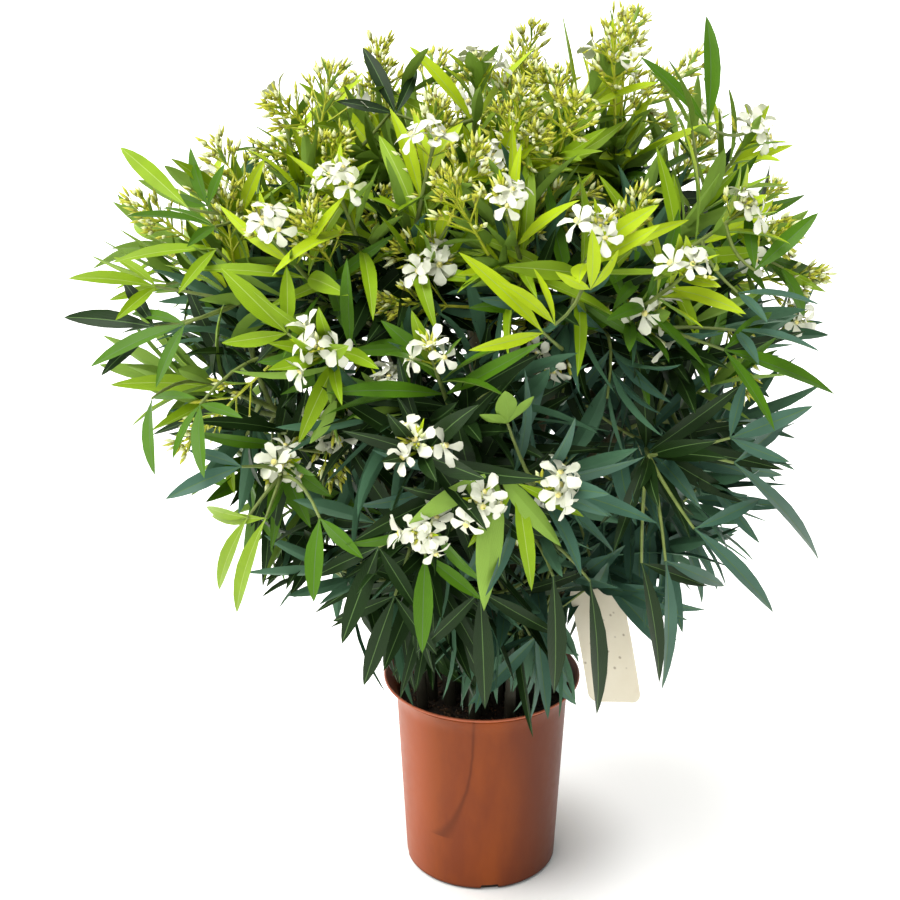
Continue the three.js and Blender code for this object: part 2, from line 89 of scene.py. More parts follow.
CANE = Named(
    pieces=4, rise=0.4, shoulder_out=0.3, shoulder_up=0.72, least_reach=0.3, step=2, inset=6,
    tip=0.62, flare=1.5, fade=14,
)
SHOOT = Named(
    stem_pieces=3, tip_reach=0.73, spread=0.48, first_fork=0.16, last_fork=0.62, fork_play=0.3, turn_play=0.5,
    shortest=0.92, longest=1.06, bend=0.4, margin=12, pulls=12, pull=0.1, radius=3.6, clearance=3,
)
BLOOM = Named(radius=25, reach=0.93, least_share=0.6)
FRONT_BLOOMS = (
    (49, -86), (58, -99), (40, -131), (50, -122), (80, -81), (66, -20), (22, -114), (30, -99),
    (12, -98), (-5, -98), (3, -89), (5, -77), (33, -53), (40, -68), (38, -37), (45, -5),
)
BACK_BLOOMS = Named(count=8, lowest=8, lift_step=31, lift_span=56, first=12, last=168)
LABEL = Named(
    mass="lower_2", cane_share=0.97, turn=-25, lean=12, width=66, height=148, thickness=1.4, corner=12,
    curl=2.4, bow=3, strap_width=6, strap_length=26, strap_thickness=1.1, strap_lap=6,
    ring_wall=2.4, ring_height=6, ring_play=1, ring_sides=32, strips=(12, 6),
)

# What only the finer growth needs, in millimetres, degrees and shares.

FINER = Named(
    per_mass={"top": 27, "upper": 21, "middle": 11, "lower": 10, "skirt": 22},
    inner_share=0.4,
    outer_share={"top": 0.88, "upper": 0.84, "middle": 0.68, "lower": 0.66, "skirt": 0.8},
    narrow=0.16,
    wide={"top": 0.74, "upper": 0.74, "middle": 0.72, "lower": 0.72, "skirt": 1.1},
    forks=(0.2, 0.55), follow=0.45, sag=0.07, sway=0.05, shortest=70, lap=26, radius=2.4, tip_radius=1.5,
)
# Root and tip radius of the stem, a side shoot and a finer twig, and the sides and steps of its tube.
LIMB_RADII = ((4.4, 2.2), (SHOOT.radius, 1.8), (FINER.radius, FINER.tip_radius))
LIMB_TUBES = ((8, 8), (6, 6), (5, 5))
# How closely a limb and a blade are tested for room, a shoot is measured, and the nearest limb is sought.
LIMB_CHECKS, BLADE_CHECKS, SHOOT_STEPS, NEAR_STEPS = 12, (0.2, 0.36, 0.52, 0.68, 0.84, 1.0), 16, 8
LEAF = Named(
    thickness=0.9, whorl=3, first=4, stalk=30, tip_size=0.78, headed_size=0.58, sizes=(0.76, 1.16),
    widths=(0.72, 1.2), small_width=0.75, step=18, step_growth=1.11, bare_share=0.2, full_age=4,
    tip_angle=28, back_angle=84, angle_play=34, turn_play=0.9, roll_play=1.5, twist_play=1.1, sway_play=0.3,
    bends=(-14, 50), least_bend=5, droop=1.3, droop_below=0.4, droop_play=0.15,
    least_reach=0.9, over_reach=1.05, tries=5, try_turn=0.4, shrink=0.05, top_shrink=0.3, top_upright=0.3,
    clearance=2, pot_clearance=6, label_clearance=4, fold=0.32, wave=0.03, wave_rate=13, wave_lag=1.1,
)
# A spray's green as painted light and shade: lightest high up and on the lit left, dark or blue below the
# steps.
TONE = Named(
    middle=0.52, rise=0.62, height=400, play=0.34, twig=0.12, low_shade=0.18, side_shade=0.2,
    shade_reach=430, steps=(0.84, 0.62, 0.4), blue_right=50, blue_above=-250, dark_share=0.15,
)
# The greens within a spray: young at the tip high up, painted shade dark inside the crown and deeper in its
# heart.
GREEN = Named(
    middle=2, dark=3, blue=4, ribs=2, old_row=2, young_share=(0, 0.5, 0.5, 0.15, 0.15),
    young_from=730, young_rise=120, heart_height=800, heart_half=190, inner_reach=0.6, lit_height=840,
)
# Low on the left the crown is open down to the pot, so a leaf there hangs no lower than a slanting plane.
OPEN_SIDE = Named(right=-112, lowest=322, slope=0.5)
# Its left shoulder falls away from the top, and its low sides are looser than the rest.
SHOULDER = Named(left=-320, right=-130, height=905, rise=0.5, slope=0.22)
LOW_SIDES = Named(left=-150, right=150, height=640, shorter=0.1)
# The pot's rim shows, so a leaf outside it ends above it.
OVER_RIM = Named(height=300, radius=104)
# The label was turned to the front by hand, so leaves stay out of the space before it.
LABEL_VIEW = Named(toward=Vector((-0.09, -0.88, 0.46)), depth=340, margin=9, hidden_top=22)
# Leaves that the photograph shows one by one: root and tip as lift, bearing and share of the reach, then
# width and green. A green of MARKED.back is a light leaf that shows its back.
MARKED = Named(upward=0.4, bend=0.4, twist=0.25, back=9, light=1, turns=(0.95, -0.8), size=0.72, knee=0.25)
MARKED_LEAVES = (
    (8, -86, 0.88, -12, -88, 0.97, 27, 9), (6, -83, 0.88, -10, -81, 0.94, 17, 1),
    (15, -84, 0.84, 20, -85, 0.93, 22, 9), (-16, -68, 0.8, -43, -62, 1.0, 22, 3),
    (51, -20, 0.88, 59, 2, 1.04, 21, 2), (52, -24, 0.86, 58, -40, 1.0, 19, 2),
    (73, -138, 0.84, 74, -174, 1.0, 17, 3), (66, -168, 0.82, 63, -171, 0.98, 18, 1),
    (38, -158, 0.88, 37, -179, 1.04, 20, 1), (40, -157, 0.86, 45, -164, 0.98, 17, 2),
    (21, -146, 0.85, 18, -156, 0.98, 20, 3), (26, -151, 0.85, 23, -155, 1.0, 19, 1),
    (21, -47, 0.86, 11, -34, 1.0, 22, 2), (-5, -54, 0.88, -19, -41, 1.0, 20, 4),
    (4, -47, 0.88, -16, -28, 1.0, 21, 4), (30, -37, 0.88, 33, -27, 1.0, 18, 2),
    (-4, -124, 0.85, -25, -135, 1.0, 19, 1), (-5, -128, 0.85, -22, -139, 1.0, 18, 1),
    (28, -78, 0.86, 38, -92, 0.97, 18, 0), (29, -76, 0.86, 34, -86, 0.97, 14, 0),
    (33, -70, 0.88, 39, -71, 0.97, 15, 0), (26, -122, 0.84, 32, -132, 0.95, 22, 1),
    (-16, -88, 0.82, -35, -87, 0.98, 22, 3), (-7, -97, 0.86, -20, -97, 0.98, 20, 2),
    (-17, -103, 0.84, -30, -108, 1.0, 20, 3), (-11, -57, 0.85, -33, -55, 1.0, 20, 4),
    (-12, -76, 0.84, -32, -75, 0.97, 22, 3), (-7, -105, 0.84, -19, -109, 1.0, 22, 3),
    (-2, -114, 0.85, -13, -113, 0.98, 20, 2), (5, -126, 0.86, 1, -132, 1.0, 18, 4),
    (11, -144, 0.86, 4, -133, 1.0, 17, 2), (13, -133, 0.86, 5, -126, 0.98, 17, 2),
    (23, -141, 0.84, 14, -148, 0.97, 19, 2), (35, -145, 0.84, 27, -151, 0.97, 18, 1),
    (38, -151, 0.84, 33, -153, 1.0, 17, 2), (23, -42, 0.84, 18, -40, 1.02, 18, 4),
    (7, -45, 0.84, 11, -39, 0.99, 18, 4), (28, -39, 0.84, 23, -36, 1.0, 16, 4),
    (-11, -61, 0.84, -29, -58, 1.0, 20, 3), (78, -171, 0.84, 76, -113, 1.0, 16, 2),
)
# A leaf's outline: share of its length, share of its width, and how much of its thickness it has there.
LEAF_ROWS = (
    (0.0, 0.1, 0.0), (0.06, 0.16, 1.0), (0.18, 0.56, 1.0), (0.34, 0.9, 1.0), (0.5, 1.0, 1.0),
    (0.66, 0.88, 0.9), (0.8, 0.62, 0.8), (0.92, 0.3, 0.6), (1.0, 0.0, 0.0),
)
LEAF_COLUMNS = (-0.5, -0.03, 0.03, 0.5)
MIDRIB = Named(tapered=0.25, least=0.5)
# Flower heads are commonest at the top of the crown, and a little commoner on its right.
HEAD_CHANCE = Named(least=-0.3, up=1.65, right=0.05)
CYME = Named(
    longest=130, shortest=60, least=14, bloom_length=16, bloom_back=30, upturn=0.35, headroom=1.6,
    over_reach=1.05, side_reach=0.95, top=0.6, levels=4, first_level=0.34, last_level=0.86, bloom_level=0.35,
    branches=3, level_turn=6, turn_play=0.5, leans=(56, 24), lean_play=16, branch=(40, 14),
    branch_play=(0.7, 1.15), least_branch=0.35, bracts=(14, 34), bract_width=0.2, bract_bend=0.5,
    bract_twist=0.2, stalk_radius=1.7, twig_radius=1.0, taper=0.8, most_open=3, open_chance=0.7,
    stray_chance=0.2, nod=0.2, buds=4, bud_swing=(0.3, 0.5), bud_stalk=(3, 9), bud_stalk_radii=(0.7, 0.6),
    bud_short=8, bud_long=17, bud_radius=2.1, bud_radii=(0.7, 1.15), cream_age=0.66,
)
MORE_BLOOMS = (
    (53, -74), (20, -108), (35, -95), (8, -101), (10, -86),
    (36, -77), (39, -61), (-1, -90), (-2, -123), (10, -113),
)
# A petal's rows are the distance from the throat's axis and half the width. The tube and the fringe have
# two radii and a height.
FLOWER = Named(
    petals=5, rows=((3.0, 1.5), (10, 3.4), (17, 6.2), (22, 4.2)), throat=3, rise=14, open_more=22,
    lean_play=26, lengths=(0.86, 1.1), widths=(0.8, 1.15), tilt=0.5, turn_play=0.24, swirl=5, rounding=1.8,
    keel=0.8, thickness=0.5, tube=(1.2, 3.4, 14.5), tube_middle=7.25, fringe=(2.4, 3.6, 4),
    fringe_middle=15.5, cone_sides=6, openness=(62, 78, 54, 70, 30), kind_span=4.99, sizes=(0.74, 0.98),
    size_rate=7, spin=40,
)
BUD_PROFILE = ((0, 0), (0.7, 0.08), (0.85, 0.26), (1, 0.52), (0, 1))
CALYX_TOP = 0.2
# Old leaf scars, and two waves in the radius: rate by turn, height, rate by ring and shift from cane to cane.
BARK = Named(
    sides=12, steps=44, scar=0.07, scar_rate=1.25, scar_least=0.6, scar_middle=0.042,
    waves=((3, 0.035, 0.31, 1), (5, 0.03, -0.5, 0)),
)
CHIPS = Named(count=420, reach=0.96, long=(1.2, 4.6), wide=(1.2, 3.2), high=(0.7, 1.8), tilt=0.9, lift=0.4)
# The compost's crumbs: rings of the top, rate and height of each roughness, how it dies out at the wall,
# and the angle from which an edge is sharp.
CRUMBS = Named(rings=30, sizes=((0.11, 2.6), (0.4, 1.4)), margin=8, edge=1, depth=0.5, sharp_angle=60)
TRICKLE = Named(
    top=248, bottom=72, start=-14, drift=-38, curl=2.9, narrow=3.2, wide=17, swell=6, wander=5, strength=0.9
)
# The floor's half width in millimetres, the room's light, and each lamp's share, softness and turn.
STAGE = Named(
    floor_half=30000, left=[1.9, 1.85, 1.75, 1], right=[0.25, 0.27, 0.3, 1], horizon=[1.41, 1.41, 1.41, 1],
    lamps=(("key", 1, 52, (25, 0, -60)), ("front", 0.11, 30, (52, 0, -14))), camera_aside=-0.039,
)


def seeded_random(seed):
    state = seed

    def draw():
        nonlocal state
        state = state * 48271 % 2147483647
        return state / 2147483647

    return draw


def lerp(a, b, t):
    return a + (b - a) * t


def linear(colour):
    """An sRGB hex colour as linear red, green, blue and alpha."""
    shares = [int(colour[i : i + 2], 16) / 255 for i in (1, 3, 5)]
    return [c / 12.92 if c <= 0.04045 else ((c + 0.055) / 1.055) ** 2.4 for c in shares] + [1.0]


# Settings that a user would change.


def colour_property(name, description, colour):
    return bpy.props.FloatVectorProperty(
        name=name, description=description, subtype="COLOR", size=4, min=0, max=1, default=linear(colour)
    )


def number_property(name, description, default, **unit):
    return bpy.props.FloatProperty(name=name, description=description, default=default, **unit)


class OleanderPotSettings(bpy.types.PropertyGroup):
    sunny: colour_property("Bright plastic", "The pot's plastic where it is clean", "#7c3809")
    dull: colour_property("Dull plastic", "The pot's plastic where it is scuffed and damp", "#6c2e0a")
    compost: colour_property("Compost", "The darkest of the moist compost", "#15100b")


class OleanderCrownSettings(bpy.types.PropertyGroup):
    leaf_length: number_property("Leaf length", "Length of a full-grown leaf", 0.142, unit="LENGTH")
    leaf_width: number_property("Leaf width", "Width of a full-grown leaf", 0.0185, unit="LENGTH")
    whorls: bpy.props.IntProperty(
        name="Whorls", description="Whorls of leaves on each shoot at most", default=8, min=1
    )
    young: colour_property("Young leaf", "Leaves beside the flower heads", "#9bb214")
    light: colour_property("Light leaf", "Leaves in full light", "#759311")
    middle: colour_property("Middle leaf", "Most leaves", "#42680f")
    # Dark leaves are old ones and painted shade inside and low in the crown; blue leaves are painted shade on
    # its right.
    dark: colour_property("Dark leaf", "Old leaves low in the crown", "#182c0e")
    blue: colour_property("Blue leaf", "Old leaves on the shaded side", "#3c5c4b")


class OleanderStageSettings(bpy.types.PropertyGroup):
    lens: number_property("Lens", "Focal length for a 36 mm sensor", 73.76, unit="CAMERA")
    distance: number_property("Distance", "How far in front of the pot the camera stands", 2.0, unit="LENGTH")
    height: number_property("Height", "The camera's height above the floor", 1.347, unit="LENGTH")
    pitch: number_property("Pitch", "How far the camera looks down", math.radians(21.8), subtype="ANGLE")
    sun: number_property("Key light", "Strength of the key light", 4.3)
    sky: number_property("Fill light", "Strength of the light all round", 0.74)


# The crown's space, its masses and their limbs, by the rule of the solids.


def outwards(lift, bearing):
    up, round_ = math.radians(lift), math.radians(bearing)
    return Vector((math.cos(up) * math.cos(round_), math.cos(up) * math.sin(round_), math.sin(up)))


def square_to(axis):
    """Two directions square to an axis and to each other."""
    helper = Vector((1, 0, 0)) if abs(axis.z) > 0.9 else UP
    side = axis.cross(helper).normalized()
    return side, axis.cross(side)


def crown_reach(direction):
    count = len(OUTLINE_REACH)
    turn = (math.atan2(direction.z, direction.x) / TAU + 1) * count % count
    before = int(turn)
    in_front = lerp(OUTLINE_REACH[before], OUTLINE_REACH[(before + 1) % count], turn - before)
    sideways = math.hypot(direction.x, direction.z) / in_front
    forward = abs(direction.y) / DEPTH_REACH
    return (sideways**CROWN_FULLNESS + forward**CROWN_FULLNESS) ** (-1 / CROWN_FULLNESS)


def crown_point(direction, share):
    return CROWN_CENTRE + direction * (crown_reach(direction) * share)


def reach_share(point):
    """How far out a point lies, as a share of the crown's reach in its direction."""
    out = point - CROWN_CENTRE
    return out.length / crown_reach(out.normalized())


def plan_masses():
    masses = []
    for number, ring in enumerate(RINGS):
        for i in range(ring.count):
            bearing = ring.turn + 360 * i / ring.count
            direction = outwards(ring.lift, bearing)
            mass = Named(ring=ring, bearing=bearing, direction=direction, blooms=[])
            mass.label = f"{ring.name}_{i + 1}" if ring.count > 1 else ring.name
            mass.heart = crown_point(direction, ring.share)
            mass.seed = SEED + SEEDS.ring * (number + 1) + SEEDS.mass * i
            masses.append(mass)
    return masses


def room_at(mass, point, masses):
    """How far a point lies inside a mass's own space."""
    room = math.inf
    for other in masses:
        if other is not mass:
            apart = other.heart - mass.heart
            middle = mass.heart + apart * 0.5
            room = min(room, (middle - point).dot(apart) / apart.length)
    return room


def deal_blooms(masses):
    places = [outwards(*place) for place in FRONT_BLOOMS]
    back = BACK_BLOOMS
    for i in range(back.count):
        lift = back.lowest + i * back.lift_step % back.lift_span
        places.append(outwards(lift, lerp(back.first, back.last, i / (back.count - 1))))
    for direction in places:
        spot = crown_point(direction, BLOOM.reach)
        min(masses, key=lambda mass: (spot - mass.heart).length).blooms.append(spot)


def bezier(points, t):
    points = list(points)
    while len(points) > 1:
        points = [a.lerp(b, t) for a, b in zip(points, points[1:])]
    return points[0]


def points_along(points, count):
    return [bezier(points, i / count) for i in range(count + 1)]


def tangent(points, t):
    span = 0.0001
    return (bezier(points, min(1, t + span)) - bezier(points, max(0, t - span))).normalized()


def point_on_limb(points, pieces, t):
    """A point on the straight pieces that the solid's limb is cut into."""
    piece = min(pieces - 1, int(t * pieces))
    return bezier(points, piece / pieces).lerp(bezier(points, (piece + 1) / pieces), t * pieces - piece)


def plan_cane(mass, masses):
    ring, heart = mass.ring, mass.heart
    foot = outwards(0, mass.bearing) * ring.foot
    foot.z = SOIL_TOP + GAP
    shoulder = foot.lerp(heart, CANE.shoulder_out)
    shoulder.z = lerp(foot.z, heart.z, CANE.shoulder_up)
    heading = (heart - shoulder).normalized()
    tip = shoulder.lerp(heart, CANE.least_reach)
    while room_at(mass, tip, masses) < ring.thickness + CANE.inset and (tip - heart).length > CANE.step:
        tip = tip + heading * CANE.step
    rise = UP * ((heart.z - foot.z) * CANE.rise)
    return Named(points=(foot, foot + rise, shoulder, tip), tip=tip, heading=heading, foot=ring.thickness)


def cane_radius(cane, t):
    return cane.foot * lerp(1, CANE.tip, t) * (1 + (CANE.flare - 1) * math.exp(-t * CANE.fade))


def plan_label(masses, canes):
    cane = canes[[mass.label for mass in masses].index(LABEL.mass)]
    wide = outwards(0, LABEL.turn)
    face = wide.cross(UP).normalized()
    lean = math.radians(LABEL.lean)
    down = wide * math.sin(lean) - UP * math.cos(lean)
    wide = wide * math.cos(lean) + UP * math.sin(lean)
    ring = point_on_limb(cane.points, CANE.pieces, LABEL.cane_share)
    axis = (bezier(cane.points, 1) - bezier(cane.points, 1 - 1 / CANE.pieces)).normalized()
    bore = cane_radius(cane, LABEL.cane_share) + LABEL.ring_play
    lowest = (down - axis * down.dot(axis)).normalized()
    top = ring + lowest * (bore + LABEL.ring_wall / 2) + down * LABEL.strap_length
    return Named(ring=ring, top=top, wide=wide, down=down, face=face, axis=axis, bore=bore)


def pot_outer_radius(z):
    neck = POT.height - POT.flare
    if z < neck:
        return lerp(POT.base, POT.neck, z / neck)
    t = min(1, (z - neck) / POT.flare)
    return lerp(POT.neck, POT.rim, t * t)


def touches_pot(point, clearance):
    if point.z > POT.height + clearance:
        return False
    radius = math.hypot(point.x, point.y)
    outside = pot_outer_radius(point.z)
    if radius > outside + clearance:
        return False
    return radius > outside - POT.wall - clearance or point.z < SOIL_TOP + clearance


def touches_label(point, label, clearance):
    out = point - label.top
    down = out.dot(label.down)
    return (
        abs(out.dot(label.face)) < clearance + LABEL.thickness
        and abs(out.dot(label.wide)) < LABEL.width / 2 + clearance
        and -LABEL.strap_length < down < LABEL.height + clearance
    )


def hides_label(point, label):
    """Whether a leaf here would hang in front of the label's lower part."""
    view = LABEL_VIEW
    out = point - label.top
    depth = out.dot(label.face) / view.toward.dot(label.face)
    out = out - view.toward * depth
    return (
        0 < depth < view.depth
        and abs(out.dot(label.wide)) < LABEL.width / 2 + view.margin
        and view.hidden_top < out.dot(label.down) < LABEL.height + view.margin
    )


def wood_distance(canes):
    """A measure of how far points lie from all canes' bark, with the canes as straight pieces."""
    starts, spans, radii = [], [], []
    for cane in canes:
        line = points_along(cane.points, CANE.pieces)
        for i, (a, b) in enumerate(zip(line, line[1:])):
            starts.append(a[:])
            spans.append((b - a)[:])
            radii.append(cane_radius(cane, i / CANE.pieces))
    starts, spans, radii = map(np.array, (starts, spans, radii))

    def nearest(points):
        out = np.array([p[:] for p in points])[:, None, :] - starts
        share = np.clip((out * spans).sum(2) / (spans**2).sum(1), 0, 1)
        apart = out - share[:, :, None] * spans
        return float((np.sqrt((apart**2).sum(2)) - radii).min())

    return nearest


def limb_fits(points, space, clearance):
    path = points_along(points, LIMB_CHECKS)
    if space.wood(path) <= clearance:
        return False
    return not any(touches_pot(p, clearance) or touches_label(p, space.label, clearance) for p in path)


def plan_shoots(mass, cane, space):
    """The mass's stem and side shoots, drawn in the order of the solids' rule."""
    draw = seeded_random(mass.seed)

    def fitted(tip, margin):
        return pulled_in(tip, mass, space, margin)

    def edge(direction):
        return crown_point(direction, SHOOT.tip_reach * lerp(SHOOT.shortest, SHOOT.longest, draw()))

    start = cane.tip + cane.heading * GAP
    leader = fitted(edge(mass.direction), SHOOT.margin)
    control = start + cane.heading * ((leader - start).length * SHOOT.bend)
    stem = Named(points=(start, control, leader), turn=draw() * TAU, bloom=False, level=0)
    side, across = square_to(mass.direction)
    targets = [(fitted(spot, BLOOM.radius + 2), True) for spot in mass.blooms]
    count = max(mass.ring.shoots, len(targets) + 2)
    for k in range(len(targets), count):
        turn = k * GOLDEN_TURN + draw() * SHOOT.turn_play
        spread = side * (math.cos(turn) * SHOOT.spread) + across * (math.sin(turn) * SHOOT.spread)
        targets.append((fitted(edge((mass.direction + spread).normalized()), SHOOT.margin), False))
    shoots = [stem]
    for k, (tip, bloom) in enumerate(targets):
        at = lerp(SHOOT.first_fork, SHOOT.last_fork, (k + draw() * SHOOT.fork_play) / count)
        fork = point_on_limb(stem.points, SHOOT.stem_pieces, at)
        turn = draw() * TAU
        if limb_fits((fork, tip), space, SHOOT.radius + SHOOT.clearance):
            shoots.append(Named(points=(fork, tip), turn=turn, bloom=bloom, level=1))
    return shoots


# The finer growth.


def pulled_in(tip, mass, space, margin):
    """A tip drawn towards its mass's heart until it has room."""
    for _ in range(SHOOT.pulls):
        if room_at(mass, tip, space.masses) >= margin:
            break
        tip = tip.lerp(mass.heart, SHOOT.pull)
    return tip


def bowed(points, draw):
    """A straight shoot as it grows: bowed a little, its end turned up to the light."""
    root, tip = points
    length = (tip - root).length
    side, across = square_to((tip - root).normalized())
    turn = draw() * TAU
    sway = (side * math.cos(turn) + across * math.sin(turn)) * (length * FINER.sway)
    return root, root.lerp(tip, 0.5) - UP * (length * FINER.sag) + sway, tip


def plan_finer(mass, shoots, space, draw):
    """Side twigs that fork from the mass's limbs and fill the space between them."""
    side, across = square_to(mass.direction)
    finer = []
    ring = mass.ring.name
    count = FINER.per_mass[ring]
    for k in range(count):
        turn = (k + 0.5) * GOLDEN_TURN + mass.seed
        spread = lerp(FINER.narrow, FINER.wide[ring], math.sqrt((k + 0.5) / count))
        share = lerp(FINER.inner_share, FINER.outer_share[ring], draw())
        direction = mass.direction + side * (math.cos(turn) * spread) + across * (math.sin(turn) * spread)
        tip = pulled_in(crown_point(direction.normalized(), share), mass, space, -FINER.lap / 2)
        parent = min(shoots, key=lambda shoot: (bezier(shoot.points, 0.5) - tip).length)
        at = lerp(*FINER.forks, draw())
        fork = bezier(parent.points, at)
        length = (tip - fork).length
        if length < FINER.shortest:
            continue
        points = (fork, fork + tangent(parent.points, at) * (length * FINER.follow), tip)
        if limb_fits(points, space, FINER.radius + LEAF.clearance):
            finer.append(Named(points=points, turn=draw() * TAU, bloom=False, level=2))
    return finer


def tone_of(tip, level, draw):
    """Which green a spray has, painted light and shade: yellow at the top and the lit left, blue low on the
    shaded right.
    """
    out = tip - CROWN_CENTRE
    shade = max(0, out.x - out.z) * TONE.low_shade + out.x * TONE.side_shade
    light = TONE.middle + TONE.rise * out.z / TONE.height - shade / TONE.shade_reach
    light = light + (draw() - 0.5) * TONE.play - (TONE.twig if level == 2 else 0)
    for tone, least in enumerate(TONE.steps):
        if light > least:
            return tone
    shaded = out.x > TONE.blue_right and out.z > TONE.blue_above and draw() > TONE.dark_share
    return GREEN.blue if shaded else GREEN.dark


def green_of(tone, row, root, draw):
    high = min(1, max(0, (root.z - GREEN.young_from) / GREEN.young_rise))
    young = row == 0 and draw() < GREEN.young_share[tone] * high
    if tone >= GREEN.dark:
        return tone - young
    # Inside the crown, below its lit top, a leaf is painted dark as shade.
    if reach_share(root) < GREEN.inner_reach:
        return GREEN.dark if root.z < GREEN.lit_height else GREEN.middle
    # In the crown's heart a leaf is a step darker, painted shade.
    in_heart = root.z < GREEN.heart_height and abs(root.x) < GREEN.heart_half
    return min(GREEN.dark, tone + (row > GREEN.old_row) - young + in_heart)


def blade_points(root, axis, face, length, bend):
    """Points along a bent leaf's spine, past its root."""
    for t in BLADE_CHECKS:
        angle = bend * t
        yield root + axis * (length * math.sin(angle) / bend) - face * (length * (1 - math.cos(angle)) / bend)


def over_shoulder(tip):
    """Whether something would stand in the open air above the crown's left shoulder."""
    if not SHOULDER.left < tip.x < SHOULDER.right:
        return False
    return tip.z + tip.y * SHOULDER.slope > SHOULDER.height + (tip.x - SHOULDER.left) * SHOULDER.rise


def leaf_fits(points, reach, mass, space):
    points = list(points)
    tip = points[-1]
    if tip.z < LOW_SIDES.height and not LOW_SIDES.left < tip.x < LOW_SIDES.right:
        reach -= LOW_SIDES.shorter
    if (
        over_shoulder(tip)
        or reach_share(tip) > reach
        or room_at(mass, tip, space.masses) < -FINER.lap
        or (tip.x < OPEN_SIDE.right and tip.z + tip.y * OPEN_SIDE.slope < OPEN_SIDE.lowest)
        or (tip.z < OVER_RIM.height and math.hypot(tip.x, tip.y) > OVER_RIM.radius)
    ):
        return False
    for p in points:
        if touches_pot(p, LEAF.pot_clearance) or touches_label(p, space.label, LEAF.label_clearance):
            return False
        if hides_label(p, space.label):
            return False
    return space.wood(points) > LEAF.clearance


def grow_leaves(shoot, mass, space, draw, crown):
    """Whorls of leaves back from a shoot's tip, as rows of numbers for the joined mesh."""
    path = points_along(shoot.points, SHOOT_STEPS)
    length = sum((b - a).length for a, b in zip(path, path[1:]))
    tone = tone_of(path[-1], shoot.level, draw)
    reach = lerp(LEAF.least_reach, LEAF.over_reach, draw())
    back, step = (LEAF.stalk if shoot.headed else LEAF.first), LEAF.step
    youngest = LEAF.headed_size if shoot.headed else LEAF.tip_size
    topward = max(0, mass.direction.z)
    lowness = max(0, LEAF.droop_below - mass.direction.z) ** 2
    rows = []
    for row in range(crown.whorls):
        if back > length * (1 - LEAF.bare_share):
            break
        at = 1 - back / length
        root, along = bezier(shoot.points, at), tangent(shoot.points, at)
        side, across = square_to(along)
        age = min(1, row / LEAF.full_age)
        for i in range(LEAF.whorl):
            turn = shoot.turn + (i / LEAF.whorl + row / 2) * TAU + (draw() - 0.5) * LEAF.turn_play
            lean = lerp(LEAF.tip_angle, LEAF.back_angle, age) + (draw() - 0.5) * LEAF.angle_play
            lean = math.radians(lean) * (1 - LEAF.top_upright * topward)
            size = lerp(youngest, 1, min(1, row / 2)) * lerp(*LEAF.sizes, draw())
            size *= 1 - LEAF.top_shrink * topward
            bend = math.radians(lerp(*LEAF.bends, draw()) * lerp(0.5, 1, age) + LEAF.least_bend)
            sag = LEAF.droop * lowness * (0.5 + 0.5 * age) + LEAF.droop_play * age * draw()
            roll = (draw() - 0.5) * LEAF.roll_play
            for attempt in range(LEAF.tries):
                round_ = turn + attempt * LEAF.try_turn
                axis = along * math.cos(lean) + side * (math.cos(round_) * math.sin(lean))
                axis = axis + across * (math.sin(round_) * math.sin(lean))
                axis.z -= sag * math.sin(lean)
                axis.normalize()
                face = (along - axis * along.dot(axis)).normalized()
                face.rotate(Matrix.Rotation(roll, 3, axis))
                scale = size * (1 - LEAF.shrink * attempt)
                long_ = crown.leaf_length / MM * scale
                if leaf_fits(blade_points(root, axis, face, long_, bend), reach, mass, space):
                    wide = crown.leaf_width / MM * lerp(*LEAF.widths, draw())
                    wide *= lerp(LEAF.small_width, 1, scale)
                    twist, sway = (draw() - 0.5) * LEAF.twist_play, (draw() - 0.5) * LEAF.sway_play
                    green = green_of(tone, row, root, draw)
                    rows.append((*root, *axis, *face, long_, wide, bend, twist, sway, green))
                    break
        back += step
        step *= LEAF.step_growth
    return rows


def plan_marked(plan, space):
    """The leaves that shape the outline and the front, each on a twig from the nearest limb."""
    limbs = [point for shoot, _, _ in plan.shoots for point in points_along(shoot.points, NEAR_STEPS)]
    for *ends, width, tone in MARKED_LEAVES:
        root, tip = (crown_point(outwards(*end[:2]), end[2]) for end in (ends[:3], ends[3:]))
        mass = min(plan.masses, key=lambda mass: (root - mass.heart).length)
        near = min(limbs, key=lambda limb: (limb - root).length)
        chord = (tip - root).normalized()
        out = (root - CROWN_CENTRE).normalized() + UP * MARKED.upward
        bend = MARKED.bend
        if tone == MARKED.back:
            out, bend, tone = -out, -bend, MARKED.light
        face = (out - chord * out.dot(chord)).normalized()
        axis = chord * math.cos(bend / 2) + face * math.sin(bend / 2)
        face = face * math.cos(bend / 2) - chord * math.sin(bend / 2)
        long_ = (tip - root).length
        rows = plan.leaves[mass.ring.name]
        rows.append((*root, *axis, *face, long_, width, bend, MARKED.twist, 0.0, tone))
        small = long_ * MARKED.size
        for turn in MARKED.turns:
            turned = axis.copy()
            turned.rotate(Matrix.Rotation(turn, 3, face))
            if leaf_fits(blade_points(root, turned, face, small, bend), LEAF.over_reach, mass, space):
                looks = (small, width * MARKED.size, bend, MARKED.twist, 0.0, tone)
                rows.append((*root, *turned, *face, *looks))
        knee = near.lerp(root, 0.5) - chord * ((root - near).length * MARKED.knee)
        plan.twigs.append(((near, knee, root), *LIMB_RADII[2], 2))


def deal_more_blooms(shoots):
    """Turns the side twigs that end nearest to the remaining blossom into flowering ones."""
    for place in MORE_BLOOMS:
        direction = outwards(*place)
        others = [shoot for shoot, _, _ in shoots if not shoot.bloom and shoot.level > 0]
        others = [shoot for shoot in others if reach_share(shoot.points[-1]) > BLOOM.least_share]
        near = min(others, key=lambda shoot: -(shoot.points[-1] - CROWN_CENTRE).normalized().dot(direction))
        near.bloom = True


